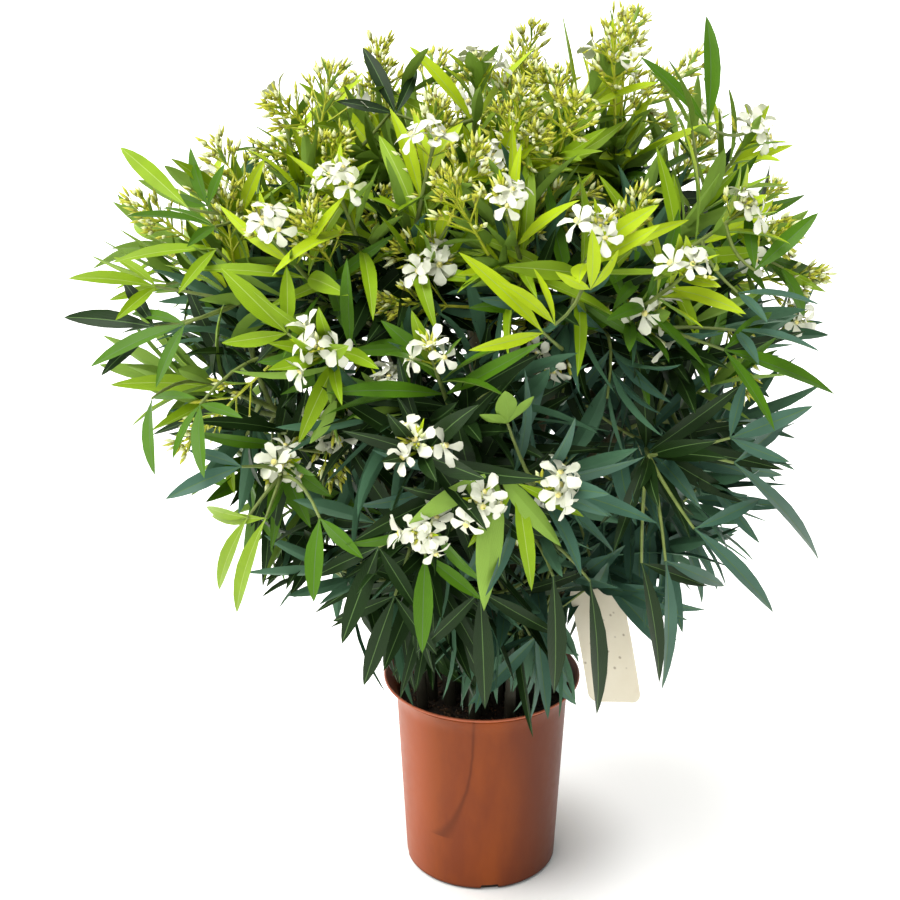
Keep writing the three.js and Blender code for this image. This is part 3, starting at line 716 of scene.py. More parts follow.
def plan_crown(crown):
    """Everything that grows: canes, shoots, leaves and flower heads, in millimetres."""
    masses = plan_masses()
    deal_blooms(masses)
    canes = [plan_cane(mass, masses) for mass in masses]
    space = Named(masses=masses, wood=wood_distance(canes), label=plan_label(masses, canes))
    plan = Named(masses=masses, canes=canes, label=space.label, shoots=[], twigs=[], leaves={}, heads=[])
    for mass, cane in zip(masses, canes):
        shoots = plan_shoots(mass, cane, space)
        draw = seeded_random(mass.seed + SEEDS.growth)
        for shoot in shoots[1:]:
            shoot.points = bowed(shoot.points, draw)
        shoots += plan_finer(mass, shoots, space, draw)
        plan.shoots += [(shoot, mass, draw) for shoot in shoots]
    deal_more_blooms(plan.shoots)
    for shoot, mass, draw in plan.shoots:
        plan.twigs.append((shoot.points, *LIMB_RADII[shoot.level], shoot.level))
        head = plan_head(shoot, mass, draw)
        shoot.headed = head is not None
        if head:
            plan.heads.append(head)
        plan.leaves.setdefault(mass.ring.name, []).extend(grow_leaves(shoot, mass, space, draw, crown))
    plan_marked(plan, space)
    return plan


# Flower heads: a stalk with whorls of side branches, each with a few buds or open flowers.


def plan_head(shoot, mass, draw):
    """A flower head for a shoot's tip, or none."""
    tip = shoot.points[-1]
    out = (tip - CROWN_CENTRE).normalized()
    chance = HEAD_CHANCE.least + HEAD_CHANCE.up * out.z + HEAD_CHANCE.right * out.x
    if draw() > chance and not shoot.bloom:
        return None
    along = tangent(shoot.points, 1)
    heading = (along + UP * CYME.upturn).normalized()
    reach = crown_reach(out) * (CYME.over_reach if out.z > CYME.top else CYME.side_reach)
    spare = reach - (tip - CROWN_CENTRE).length - CYME.bud_long * CYME.headroom
    length = CYME.bloom_length if shoot.bloom else min(lerp(CYME.shortest, CYME.longest, draw()), spare)
    if length < CYME.least or over_shoulder(tip + heading * length):
        return None
    if shoot.bloom:
        tip = tip - along * CYME.bloom_back
    turn, seed = draw() * TAU, mass.seed * SEEDS.head + int(draw() * SEEDS.head_play)
    return Named(tip=tip, heading=heading, length=length, bloom=shoot.bloom, turn=turn, seed=seed)


def grow_head(head, out):
    """Adds one flower head's stalks, buds, flowers and small leaves to out."""
    draw = seeded_random(head.seed + 1)
    side, across = square_to(head.heading)
    top = head.tip + head.heading * head.length
    out.stalks.append(((head.tip, top), CYME.stalk_radius, CYME.twig_radius))
    levels = 1 if head.bloom else CYME.levels
    luck = draw()
    open_left = int(luck > 1 - CYME.stray_chance)
    if head.bloom:
        open_left = CYME.most_open + int(luck * CYME.most_open)
    for level in range(levels + 1):
        share = 1 if level == levels else lerp(CYME.first_level, CYME.last_level, level / max(1, levels - 1))
        if head.bloom and level < levels:
            share = CYME.bloom_level
        root = head.tip.lerp(top, share)
        for i in range(CYME.branches):
            turn = head.turn + (i / CYME.branches + level / CYME.level_turn) * TAU
            turn += (draw() - 0.5) * CYME.turn_play
            lean = math.radians(lerp(*CYME.leans, share) + (draw() - 0.5) * CYME.lean_play)
            radial = side * math.cos(turn) + across * math.sin(turn)
            heading = (head.heading * math.cos(lean) + radial * math.sin(lean)).normalized()
            long_ = lerp(*CYME.branch, share) * lerp(*CYME.branch_play, draw())
            end = root + heading * (long_ * min(1, head.length / CYME.shortest + CYME.least_branch))
            out.stalks.append(((root, end), CYME.twig_radius, CYME.twig_radius * CYME.taper))
            out.bracts.append((root, heading, radial, lerp(*CYME.bracts, draw())))
            if open_left and draw() > 1 - CYME.open_chance:
                out.flowers.append((end, (heading + radial * CYME.nod).normalized(), draw()))
                open_left -= 1
                continue
            for j in range(CYME.buds):
                swing = (j - (CYME.buds - 1) / 2) * lerp(*CYME.bud_swing, draw())
                bud = (heading + radial * (swing * 0.5) + heading.cross(radial) * swing).normalized()
                foot = end + bud * lerp(*CYME.bud_stalk, draw())
                radii = (CYME.twig_radius * share for share in CYME.bud_stalk_radii)
                out.stalks.append(((end, foot), *radii))
                out.buds.append((foot, bud, lerp(CYME.bud_short, CYME.bud_long, draw()), draw()))
    if head.bloom:
        out.flowers.append((top, head.heading, draw()))


# Shapes made once with mesh operators, and heaps of their copies.


def shape_from(bm):
    """A finished bmesh as arrays, and the bmesh freed. Sharp vertices lie on an edge that isn't smooth."""
    bm.verts.index_update()
    shape = Named(
        places=np.array([v.co[:] for v in bm.verts]),
        corners=np.array([v.index for f in bm.faces for v in f.verts]),
        sizes=np.array([len(f.verts) for f in bm.faces]),
        slots=np.array([f.material_index for f in bm.faces]),
        sharp=np.array([any(not e.smooth for e in v.link_edges) for v in bm.verts]),
    )
    bm.free()
    return shape


class Heap:
    """Copies of small shapes, joined into one mesh."""

    def __init__(self):
        self.parts, self.count = [], 0

    def add(self, shape, places, slots=None, pattern=None):
        """places is copies x vertices x 3 in millimetres, and slots is copies x faces or one row for all."""
        copies, size = places.shape[:2]
        corners = shape.corners[None, :] + (self.count + np.arange(copies)[:, None] * size)
        slots = np.broadcast_to(shape.slots if slots is None else slots, (copies, len(shape.sizes)))
        pattern = shape.places[:, :2] if pattern is None else pattern
        sizes, sharp = (np.tile(row, copies) for row in (shape.sizes, shape.sharp))
        patterns = np.tile(pattern[shape.corners], (copies, 1))
        places = places.reshape(-1, 3) * MM
        self.parts.append((places, corners.ravel(), sizes, slots.ravel(), sharp, patterns))
        self.count += copies * size

    def mesh(self, name, materials):
        places, corners, sizes, slots, sharp, patterns = map(np.concatenate, zip(*self.parts))
        mesh = bpy.data.meshes.new(name)
        mesh.vertices.add(self.count)
        mesh.vertices.foreach_set("co", places.astype(np.float32).ravel())
        mesh.loops.add(len(corners))
        mesh.loops.foreach_set("vertex_index", corners.astype(np.int32))
        mesh.polygons.add(len(sizes))
        mesh.polygons.foreach_set("loop_start", (np.cumsum(sizes) - sizes).astype(np.int32))
        for material in materials:
            mesh.materials.append(material)
        mesh.polygons.foreach_set("material_index", slots.astype(np.int32))
        mesh.polygons.foreach_set("use_smooth", np.ones(len(sizes), bool))
        mesh.uv_layers.new(name="surface").data.foreach_set("uv", patterns.astype(np.float32).ravel())
        mesh.update(calc_edges=True)
        ends = np.zeros(len(mesh.edges) * 2, np.int32)
        mesh.edges.foreach_get("vertices", ends)
        sharp = sharp[ends.reshape(-1, 2)].all(axis=1)
        mesh.attributes.new("sharp_edge", "BOOLEAN", "EDGE").data.foreach_set("value", sharp)
        mesh.update()
        return mesh


def tube_shape(sides, steps):
    """A closed round tube of radius 1, with a ring at every whole height up to steps."""
    bm = bmesh.new()
    bmesh.ops.create_circle(bm, cap_ends=True, segments=sides, radius=1)
    edges = bm.edges[:]
    for _ in range(steps):
        grown = bmesh.ops.extrude_edge_only(bm, edges=edges)["geom"]
        ring = {g for g in grown if isinstance(g, bmesh.types.BMVert)}
        edges = [g for g in grown if isinstance(g, bmesh.types.BMEdge) and ring.issuperset(g.verts)]
        bmesh.ops.translate(bm, verts=list(ring), vec=UP)
    bmesh.ops.edgeloop_fill(bm, edges=edges)
    bmesh.ops.recalc_face_normals(bm, faces=bm.faces[:])
    for face in bm.faces:
        if len(face.verts) == sides:
            for edge in face.edges:
                edge.smooth = False
    return shape_from(bm)


def tube_places(shape, path, radii):
    """A tube shape's vertices along a path, with frames that don't twist and a radius for each ring."""
    path = np.array([p[:] for p in path], float)
    along = np.gradient(path, axis=0)
    along /= np.linalg.norm(along, axis=1)[:, None]
    sides = np.zeros_like(along)
    side = np.array(square_to(Vector(along[0]))[0][:])
    for i, heading in enumerate(along):
        side = side - heading * side.dot(heading)
        side /= np.linalg.norm(side)
        sides[i] = side
    acrosses = np.cross(along, sides)
    step = np.rint(shape.places[:, 2]).astype(int)
    x, y = (shape.places[:, axis] * radii[step] for axis in (0, 1))
    return path[step] + sides[step] * x[:, None] + acrosses[step] * y[:, None]


def tapered_tube(shape, path, root_radius, tip_radius):
    """One copy of a tube shape along a path, thinner towards its end."""
    steps = len(path) - 1
    radii = np.array([lerp(root_radius, tip_radius, i / steps) for i in range(steps + 1)])
    return tube_places(shape, path, radii)[None]


def grid_faces(bm, columns, rows):
    """A fresh grid whose vertices are given back with their column and row."""
    verts = bmesh.ops.create_grid(bm, x_segments=columns, y_segments=rows, size=0.5)["verts"]
    return [(v, round((v.co.x + 0.5) * columns), round((v.co.y + 0.5) * rows)) for v in verts]


def back_with(bm, verts, inner, drop, slot):
    """Gives an open sheet a back of its own, lowered inside its margin and welded along it."""
    faces = list({f for v in verts for f in v.link_faces})
    geometry = list(verts) + list({e for v in verts for e in v.link_edges}) + faces
    result = bmesh.ops.duplicate(bm, geom=geometry)
    twin = result["vert_map"]
    new_faces = [g for g in result["geom"] if isinstance(g, bmesh.types.BMFace)]
    bmesh.ops.reverse_faces(bm, faces=new_faces)
    for face in new_faces:
        face.material_index = slot
    for vert in inner:
        twin[vert].co = drop(vert)
    margin = [v for v in verts if v not in inner]
    bmesh.ops.weld_verts(bm, targetmap={twin[v]: v for v in margin})
    for vert in margin:
        for edge in vert.link_edges:
            if len({f.material_index == slot for f in edge.link_faces}) == 2:
                edge.smooth = False


def leaf_shape():
    """A leaf along +Y, one unit long and wide: blade halves, a raised midrib and a paler back."""
    bm = bmesh.new()
    where = {}
    for vert, column, row in grid_faces(bm, len(LEAF_COLUMNS) - 1, len(LEAF_ROWS) - 1):
        share, width, _ = LEAF_ROWS[row]
        rib = MIDRIB.tapered * width + MIDRIB.least if 0 < column < 3 else width
        vert.co = (LEAF_COLUMNS[column] * min(1, rib) if width else 0, share, 0)
        where[vert] = (column, row)
    for face in bm.faces:
        face.material_index = int(all(0 < where[v][0] < 3 for v in face.verts))
    inner = {v for v, (column, row) in where.items() if 0 < column < 3 and LEAF_ROWS[row][2] > 0}
    back_with(bm, list(where), inner, lambda v: v.co - UP * LEAF_ROWS[where[v][1]][2], 2)
    bmesh.ops.remove_doubles(bm, verts=bm.verts[:], dist=1e-4)
    return shape_from(bm)


def leaf_places(shape, rows):
    """Every leaf's vertices: bent along its length, folded along its midrib, twisted and waved."""
    rows = np.array(rows)
    root, axis, face = rows[:, None, 0:3], rows[:, None, 3:6], rows[:, None, 6:9]
    long_, wide, bend, twist, sway = (rows[:, None, i] for i in (9, 10, 11, 12, 13))
    across, along, drop = shape.places.T
    side = np.cross(axis, face)
    angle = bend * along
    normal = face * np.cos(angle)[..., None] + axis * np.sin(angle)[..., None]
    spine = root + axis * (long_ * np.sin(angle) / bend)[..., None]
    spine = spine - face * (long_ * (1 - np.cos(angle)) / bend)[..., None]
    spine = spine + side * (long_ * sway * along**2)[..., None]
    turn = twist * along
    wide_way = side * np.cos(turn)[..., None] + normal * np.sin(turn)[..., None]
    high_way = normal * np.cos(turn)[..., None] - side * np.sin(turn)[..., None]
    wave = LEAF.wave * np.sin(along * LEAF.wave_rate + root[..., 0] + np.sign(across) * LEAF.wave_lag)
    lift = np.abs(across) * wide * (LEAF.fold + wave) + drop * LEAF.thickness
    return spine + wide_way * (across * wide)[..., None] + high_way * lift[..., None]


def leaf_slots(shape, tones, greens):
    """Material of every face: the spray's own green, then its midrib, then its back."""
    tones = np.clip(np.asarray(tones, int), 0, greens - 1)[:, None]
    # Midribs and backs follow the spray's green, so they carry its painted light and shade: dull and grey for
    # dark and blue sprays.
    rib, back = (tones >= GREEN.middle).astype(int), (tones >= GREEN.dark).astype(int)
    return np.select([shape.slots == 0, shape.slots == 1], [tones, greens + rib], greens + GREEN.ribs + back)


def flower_shape(openness):
    """A flower facing +Z in millimetres: five petals set like a propeller, a tube and a fringed throat."""
    bm = bmesh.new()
    draw = seeded_random(SEED + openness)
    last = len(FLOWER.rows) - 1
    for petal in range(FLOWER.petals):
        long_, wide = lerp(*FLOWER.lengths, draw()), lerp(*FLOWER.widths, draw())
        lean_play, tilt = draw() - 0.5, draw() * FLOWER.tilt
        turn = (draw() - 0.5) * FLOWER.turn_play + petal / FLOWER.petals * TAU
        cells = grid_faces(bm, 2, last)
        for vert, column, row in cells:
            radius, half = FLOWER.rows[row]
            u = column - 1
            lean = math.radians(openness + FLOWER.open_more * row / last + lean_play * FLOWER.lean_play)
            along = (radius - FLOWER.throat) * long_
            out = FLOWER.throat + along * math.sin(lean) + (FLOWER.rounding if row == last and not u else 0)
            up = FLOWER.rise + along * math.cos(lean) + u * half * tilt
            swirl = math.radians(FLOWER.swirl * row) + turn
            across = u * half * wide
            vert.co = (
                out * math.cos(swirl) - across * math.sin(swirl),
                out * math.sin(swirl) + across * math.cos(swirl),
                up - (0 if u else FLOWER.keel),
            )
        inner = {vert for vert, column, row in cells if column == 1 and 0 < row < last}
        back_with(bm, [cell[0] for cell in cells], inner, lambda v: v.co - UP * FLOWER.thickness, 3)
    cones = ((1, FLOWER.tube, FLOWER.tube_middle), (2, FLOWER.fringe, FLOWER.fringe_middle))
    for slot, (low, high, depth), middle in cones:
        size = {"radius1": low, "radius2": high, "depth": depth}
        cone = bmesh.ops.create_cone(bm, cap_ends=True, segments=FLOWER.cone_sides, **size)["verts"]
        bmesh.ops.translate(bm, verts=cone, vec=(0, 0, middle))
        for face in {f for v in cone for f in v.link_faces}:
            face.material_index = slot if slot == 1 or face.normal.z > 0.8 else 0
    for face in bm.faces:
        face.material_index %= 3
    return shape_from(bm)


def spin_profile(bm, profile, steps):
    """Spins radius and height pairs round +Z into a closed shell with outward faces."""
    verts = [bm.verts.new((radius, 0, height)) for radius, height in profile]
    edges = [bm.edges.new(pair) for pair in zip(verts, verts[1:])]
    turn = {"cent": (0, 0, 0), "axis": UP, "dvec": (0, 0, 0), "angle": TAU, "steps": steps}
    bmesh.ops.spin(bm, geom=verts + edges, use_merge=True, **turn)
    bmesh.ops.remove_doubles(bm, verts=bm.verts[:], dist=1e-5)
    bmesh.ops.recalc_face_normals(bm, faces=bm.faces[:])


def bud_shape():
    """A bud along +Z, one unit long and of radius 1: a small green calyx and a pointed, rolled bud."""
    bm = bmesh.new()
    spin_profile(bm, BUD_PROFILE, 4)
    for face in bm.faces:
        face.material_index = int(face.calc_center_median().z < CALYX_TOP)
    return shape_from(bm)


def set_upright(shape, root, heading, scale, turn):
    """A +Z shape's vertices with their foot at root and their top along heading."""
    side, across = square_to(heading)
    first = side * math.cos(turn) + across * math.sin(turn)
    second = heading.cross(first)
    axes = np.array([first[:], second[:], heading[:]])
    return np.array(root[:]) + (shape.places * np.asarray(scale)) @ axes


# Materials. Each finish gives its shader's inputs.

MIX_A, MIX_B, MIX_OUT = 6, 7, 2


def add_node(tree, kind, inputs=None, **settings):
    """Adds a node and gives its outputs. Each input is a value, or the output that feeds it."""
    node = tree.nodes.new("ShaderNode" + kind)
    for name, value in settings.items():
        setattr(node, name, value)
    for socket, value in (inputs or {}).items():
        if isinstance(value, bpy.types.NodeSocket):
            tree.links.new(value, node.inputs[socket])
        else:
            node.inputs[socket].default_value = value
    return node.outputs


def material_of(name, finish, *looks):
    """The material of this name, painted on first use."""
    material = bpy.data.materials.get(name)
    if material is None:
        material = bpy.data.materials.new(name)
        material.use_nodes = True
        tree = material.node_tree
        tree.nodes.clear()
        shader = add_node(tree, "BsdfPrincipled", finish(tree, add_node(tree, "TexCoord"), *looks))
        add_node(tree, "OutputMaterial", {"Surface": shader[0]})
    return material


def per_metre(millimetres):
    """A noise scale whose features are about this big."""
    return 1 / (millimetres * MM)


def darker(colour, share):
    return [c * share for c in colour[:3]] + [1.0]


def leaf_skin(tree, place, colour, roughness, vein=0.25):
    """Leathery leaf skin: faint mottling, fine side veins that break up a satin gloss."""
    patches = {"Vector": place["Object"], "Scale": per_metre(40), "Detail": 3.0}
    mottle = add_node(tree, "TexNoise", patches)[0]
    greens = {"Factor": mottle, MIX_A: darker(colour, 0.72), MIX_B: darker(colour, 1.22)}
    green = add_node(tree, "Mix", greens, data_type="RGBA")[MIX_OUT]
    # Real side veins are 2 mm apart; they are drawn 6 mm apart so that they show.
    bands = {"Vector": place["UV"], "Scale": 8.0, "Distortion": 1.5, "Detail": 1.0}
    veins = add_node(tree, "TexWave", bands, bands_direction="DIAGONAL")[1]
    relief = add_node(tree, "Bump", {"Height": veins, "Strength": vein, "Distance": 0.4 * MM})[0]
    gloss = {"Roughness": roughness, "IOR": 1.45, "Specular IOR Level": 0.17}
    return {"Base Color": green, "Normal": relief, **gloss}


def soft_skin(tree, place, colour, other, size, roughness, bump=0.0, bump_size=2.0):
    """A dull living or earthen surface: two close colours in patches, with a fine relief."""
    patches = {"Vector": place["Object"], "Scale": per_metre(size), "Detail": 4.0}
    patches = add_node(tree, "TexNoise", patches)[0]
    share = add_node(tree, "MapRange", {"Value": patches, "From Min": 0.3, "From Max": 0.7})[0]
    mix = add_node(tree, "Mix", {"Factor": share, MIX_A: colour, MIX_B: other}, data_type="RGBA")[MIX_OUT]
    inputs = {"Base Color": mix, "Roughness": roughness, "IOR": 1.45}
    if bump:
        grain = {"Vector": place["Object"], "Scale": per_metre(bump_size), "Detail": 5.0}
        grain = add_node(tree, "TexNoise", grain)[0]
        inputs["Normal"] = add_node(tree, "Bump", {"Height": grain, "Strength": bump, "Distance": MM})[0]
    return inputs


def card_skin(tree, place):
    """Weathered label card: off-white, yellowed in patches, with a few specks of dirt."""
    patches = {"Vector": place["Object"], "Scale": per_metre(30), "Detail": 4.0}
    yellowed = add_node(tree, "TexNoise", patches)[0]
    spots = add_node(tree, "TexVoronoi", {"Vector": place["Object"], "Scale": per_metre(15)})["Distance"]
    dirt = {"Value": spots, "From Min": 0.15, "From Max": 0.08, "To Max": 0.6}
    specks = add_node(tree, "MapRange", dirt)[0]
    card = linear("#ddd6c2")
    for share, colour in ((yellowed, "#cdc3aa"), (specks, "#6b5a3e")):
        mix = {"Factor": share, MIX_A: card, MIX_B: linear(colour)}
        card = add_node(tree, "Mix", mix, data_type="RGBA")[MIX_OUT]
    return {"Base Color": card, "Roughness": 0.5}


def bark_skin(tree, place):
    """Young oleander bark: smooth olive-brown, streaked lengthwise, with small pale pores, damp low down."""
    stretch = add_node(tree, "Mapping", {"Vector": place["Object"], "Scale": (1, 1, 0.12)})[0]
    streaks = add_node(tree, "TexNoise", {"Vector": stretch, "Scale": per_metre(4), "Detail": 5.0})[0]
    pores = add_node(tree, "TexVoronoi", {"Vector": place["Object"], "Scale": per_metre(9)})["Distance"]
    pale = add_node(tree, "MapRange", {"Value": pores, "From Min": 0.14, "From Max": 0.06})[0]
    height = add_node(tree, "SeparateXYZ", {0: place["Object"]})["Z"]
    # Low down the bark is old, damp and nearly black.
    low = {"Value": height, "From Min": 0.4, "From Max": 0.27, "To Max": 0.85}
    damp = add_node(tree, "MapRange", low, interpolation_type="SMOOTHSTEP")[0]
    bark = linear("#38351e")
    for share, colour in ((streaks, "#6b6440"), (pale, "#b3a987"), (damp, "#16140b")):
        mix = {"Factor": share, MIX_A: bark, MIX_B: linear(colour)}
        bark = add_node(tree, "Mix", mix, data_type="RGBA")[MIX_OUT]
    relief = add_node(tree, "Bump", {"Height": streaks, "Strength": 0.5, "Distance": 0.6 * MM})[0]
    return {"Base Color": bark, "Normal": relief, "Roughness": 0.72}


def trickle_mask(tree, spot, x, y, z):
    """Where brown water once ran down the front: straight at first, then drifting aside."""
    run = TRICKLE
    way_down = {"Value": z, "From Min": run.top * MM, "From Max": run.bottom * MM}
    fallen = add_node(tree, "MapRange", way_down)[0]
    curled, swollen = (
        add_node(tree, "Math", {0: fallen, 1: power}, operation="POWER")[0] for power in (run.curl, run.swell)
    )
    wander = add_node(tree, "TexNoise", {"Vector": spot, "Scale": per_metre(30), "Detail": 2.0})[0]
    middle = run.start * MM
    for share, most in ((curled, run.drift * MM), (wander, run.wander * MM)):
        middle = add_node(tree, "Math", {0: share, 1: most, 2: middle}, operation="MULTIPLY_ADD")[0]
    widths = {"Value": swollen, "To Min": run.narrow * MM, "To Max": run.wide * MM}
    width = add_node(tree, "MapRange", widths)[0]
    aside = add_node(tree, "Math", {0: x, 1: middle}, operation="SUBTRACT")[0]
    aside = add_node(tree, "Math", {0: aside}, operation="ABSOLUTE")[0]
    aside = add_node(tree, "Math", {0: aside, 1: width}, operation="DIVIDE")[0]
    near = {"Value": aside, "From Min": 1.0, "From Max": 0.0, "To Max": run.strength}
    mask = add_node(tree, "MapRange", near, interpolation_type="SMOOTHSTEP")[0]
    front = add_node(tree, "Math", {0: y, 1: 0.0}, operation="LESS_THAN")[0]
    above = add_node(tree, "Math", {0: z, 1: run.bottom * MM}, operation="GREATER_THAN")[0]
    for only in (front, above):
        mask = add_node(tree, "Math", {0: mask, 1: only}, operation="MULTIPLY")[0]
    return mask


def foot_shade_mask(tree, x, y, z):
    """Painted shade round the foot's edge, where it meets the floor, and on the drain slots' inner faces."""
    flat = add_node(tree, "CombineXYZ", {0: x, 1: y})[0]
    radius = add_node(tree, "VectorMath", {0: flat}, operation="LENGTH")["Value"]
    wall = {"Value": radius, "From Min": (POT.base + 0.1) * MM, "From Max": (POT.base - 1.2) * MM}
    inward = add_node(tree, "MapRange", wall)[0]
    low = add_node(tree, "Math", {0: z, 1: (POT.slot_height + 1) * MM}, operation="LESS_THAN")[0]
    slots = add_node(tree, "Math", {0: inward, 1: low}, operation="MULTIPLY")[0]
    # Painted shade low on the wall, darkest at the floor.
    floor_contact_shade = {"Value": z, "From Min": 8 * MM, "From Max": 1 * MM, "To Max": 0.85}
    floor_contact_shade = add_node(tree, "MapRange", floor_contact_shade, interpolation_type="SMOOTHSTEP")[0]
    return add_node(tree, "Math", {0: slots, 1: floor_contact_shade}, operation="MAXIMUM")[0]


def pot_skin(tree, place, settings):
    """Moulded polypropylene, brick coloured: soft gloss, damp blotches, a dried trickle, painted highlights
    and painted shade.
    """
    spot = place["Object"]
    x, y, z = add_node(tree, "SeparateXYZ", {0: spot})
    stretch = add_node(tree, "Mapping", {"Vector": spot, "Scale": (1, 1, 0.3)})[0]
    blotches = {"Vector": stretch, "Scale": per_metre(48), "Detail": 4.0, "Roughness": 0.6}
    blotches = add_node(tree, "TexNoise", blotches)[0]
    damp = add_node(tree, "MapRange", {"Value": blotches, "From Min": 0.36, "From Max": 0.62})[0]
    mix = {"Factor": damp, MIX_A: settings.dull[:], MIX_B: settings.sunny[:]}
    brick = add_node(tree, "Mix", mix, data_type="RGBA")[MIX_OUT]
    # Painted highlights on the left side and along the lip, and painted shade on the right side.
    shares = []
    lip = (z, POT.height - 6, POT.height - 2, 0.6)
    for way, low, high, most in ((x, -50, -86, 0.6), (x, 10, 75, 0.7), lip):
        painted_light_band = {"Value": way, "From Min": low * MM, "From Max": high * MM, "To Max": most}
        shares.append(add_node(tree, "MapRange", painted_light_band, interpolation_type="SMOOTHSTEP")[0])
    painted_left_highlight, painted_right_shade, painted_lip_highlight = shares
    shares = (painted_left_highlight, painted_right_shade, trickle_mask(tree, spot, x, y, z), painted_lip_highlight, foot_shade_mask(tree, x, y, z))
    # Laid on in turn: painted highlight, painted shade, the trickle's stain, painted highlight and painted
    # shade.
    for share, colour in zip(shares, ("#9c4a24", "#4f210c", "#5a2400", "#b4664a", "#0c0704")):
        mix = {"Factor": share, MIX_A: brick, MIX_B: linear(colour)}
        brick = add_node(tree, "Mix", mix, data_type="RGBA")[MIX_OUT]
    fine = add_node(tree, "TexNoise", {"Vector": spot, "Scale": per_metre(12), "Detail": 4.0})[0]
    gloss = add_node(tree, "MapRange", {"Value": fine, "To Min": 0.34, "To Max": 0.5})[0]
    relief = add_node(tree, "Bump", {"Height": blotches, "Strength": 0.12, "Distance": MM})[0]
    return {"Base Color": brick, "Roughness": gloss, "Normal": relief, "IOR": 1.49, "Specular IOR Level": 0.2}


def floor_skin(tree, place):
    """White paper, glowing faintly away from the pot: painted light that hides the crown's shadow but not the
    pot's.
    """
    away = add_node(tree, "VectorMath", {0: place["Object"]}, operation="LENGTH")["Value"]
    glow = {"Value": away, "From Min": 0.1, "From Max": 0.24, "To Max": 0.34}
    glow = add_node(tree, "MapRange", glow, interpolation_type="SMOOTHSTEP")[0]
    paper = soft_skin(tree, place, linear("#fafaf8"), linear("#f7f7f5"), 900, 0.85)
    return {**paper, "Emission Color": [1, 1, 1, 1], "Emission Strength": glow}


# Pieces.


def add_piece(mesh, slot, *nodes):
    """A finished mesh as an object that rides on the one body and stands for the named nodes."""
    piece = bpy.data.objects.new(mesh.name, mesh)
    bpy.context.scene.collection.objects.link(piece)
    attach(piece, "root")
    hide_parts(*nodes)
    return piece


def mesh_from(bm, name, materials, sharp_angle=SHARP_ANGLE):
    """A bmesh in millimetres as a mesh in metres, smooth except at sharp edges."""
    bmesh.ops.scale(bm, vec=(MM, MM, MM), verts=bm.verts[:])
    mesh = bpy.data.meshes.new(name)
    bm.to_mesh(mesh)
    bm.free()
    for material in materials:
        mesh.materials.append(material)
    mesh.polygons.foreach_set("use_smooth", np.ones(len(mesh.polygons), bool))
    mesh.set_sharp_from_angle(angle=math.radians(sharp_angle))
    return mesh


def foliage_nodes(*rings):
    return [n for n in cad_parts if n.startswith("foliage_") and n.split("_")[1] in rings]


def build_pot(settings):
    neck = POT.height - POT.flare
    levels = [neck + POT.flare * i / POT.flare_rows for i in range(POT.flare_rows - 1)]
    outer = [(pot_outer_radius(z), z) for z in levels]
    groove = [(pot_outer_radius(z) - cut, z) for z, cut in POT.groove]
    turns = [math.radians(turn) for turn in POT.lip_turns]
    roll = [
        (POT.rim - POT.lip + POT.lip * math.cos(turn), POT.height - POT.lip + POT.lip * math.sin(turn))
        for turn in turns
    ]
    inner = [(radius - POT.wall, z) for radius, z in reversed(outer)]
    profile = [(0, 0), (POT.base - POT.chamfer, 0), (pot_outer_radius(POT.chamfer), POT.chamfer)]
    profile += [(pot_outer_radius(z), z) for z in POT.rows]
    profile += outer + groove + roll + inner
    profile += [(pot_outer_radius(POT.floor) - POT.wall, POT.floor), (0, POT.floor)]
    bm = bmesh.new()
    spin_profile(bm, profile, POT.sides)
    shell = bpy.data.objects.new("shell", mesh_from(bm, "shell", []))
    cutter = bmesh.new()
    for i in range(POT.slots):
        turn = Matrix.Rotation(TAU * i / POT.slots + math.radians(POT.slot_turn), 4, "Z")
        size = Matrix.Diagonal((POT.slot_depth, POT.slot_width, POT.slot_height * 2, 1))
        bmesh.ops.create_cube(cutter, size=1, matrix=turn @ Matrix.Translation((POT.base, 0, 0)) @ size)
    tops = [e for e in cutter.edges if min(v.co.z for v in e.verts) > 0]
    bmesh.ops.bevel(
        cutter, geom=tops, offset=POT.slot_corner, segments=3, profile=0.5, affect="EDGES", material=-1
    )
    cut = bpy.data.objects.new("slots", mesh_from(cutter, "slots", []))
    for item in (shell, cut):
        bpy.context.scene.collection.objects.link(item)
    modifier = shell.modifiers.new("slots", "BOOLEAN")
    modifier.object, modifier.solver, modifier.operation = cut, "EXACT", "DIFFERENCE"
    bpy.context.view_layer.update()
    mesh = bpy.data.meshes.new_from_object(shell.evaluated_get(bpy.context.evaluated_depsgraph_get()))
    for item in (shell, cut):
        bpy.data.objects.remove(item)
    mesh.name = "nursery_pot"
    mesh.materials.clear()
    mesh.materials.append(material_of("moulded_polypropylene", pot_skin, settings))
    mesh.set_sharp_from_angle(angle=math.radians(SHARP_ANGLE))
    add_piece(mesh, "pot_plastic", "pot")


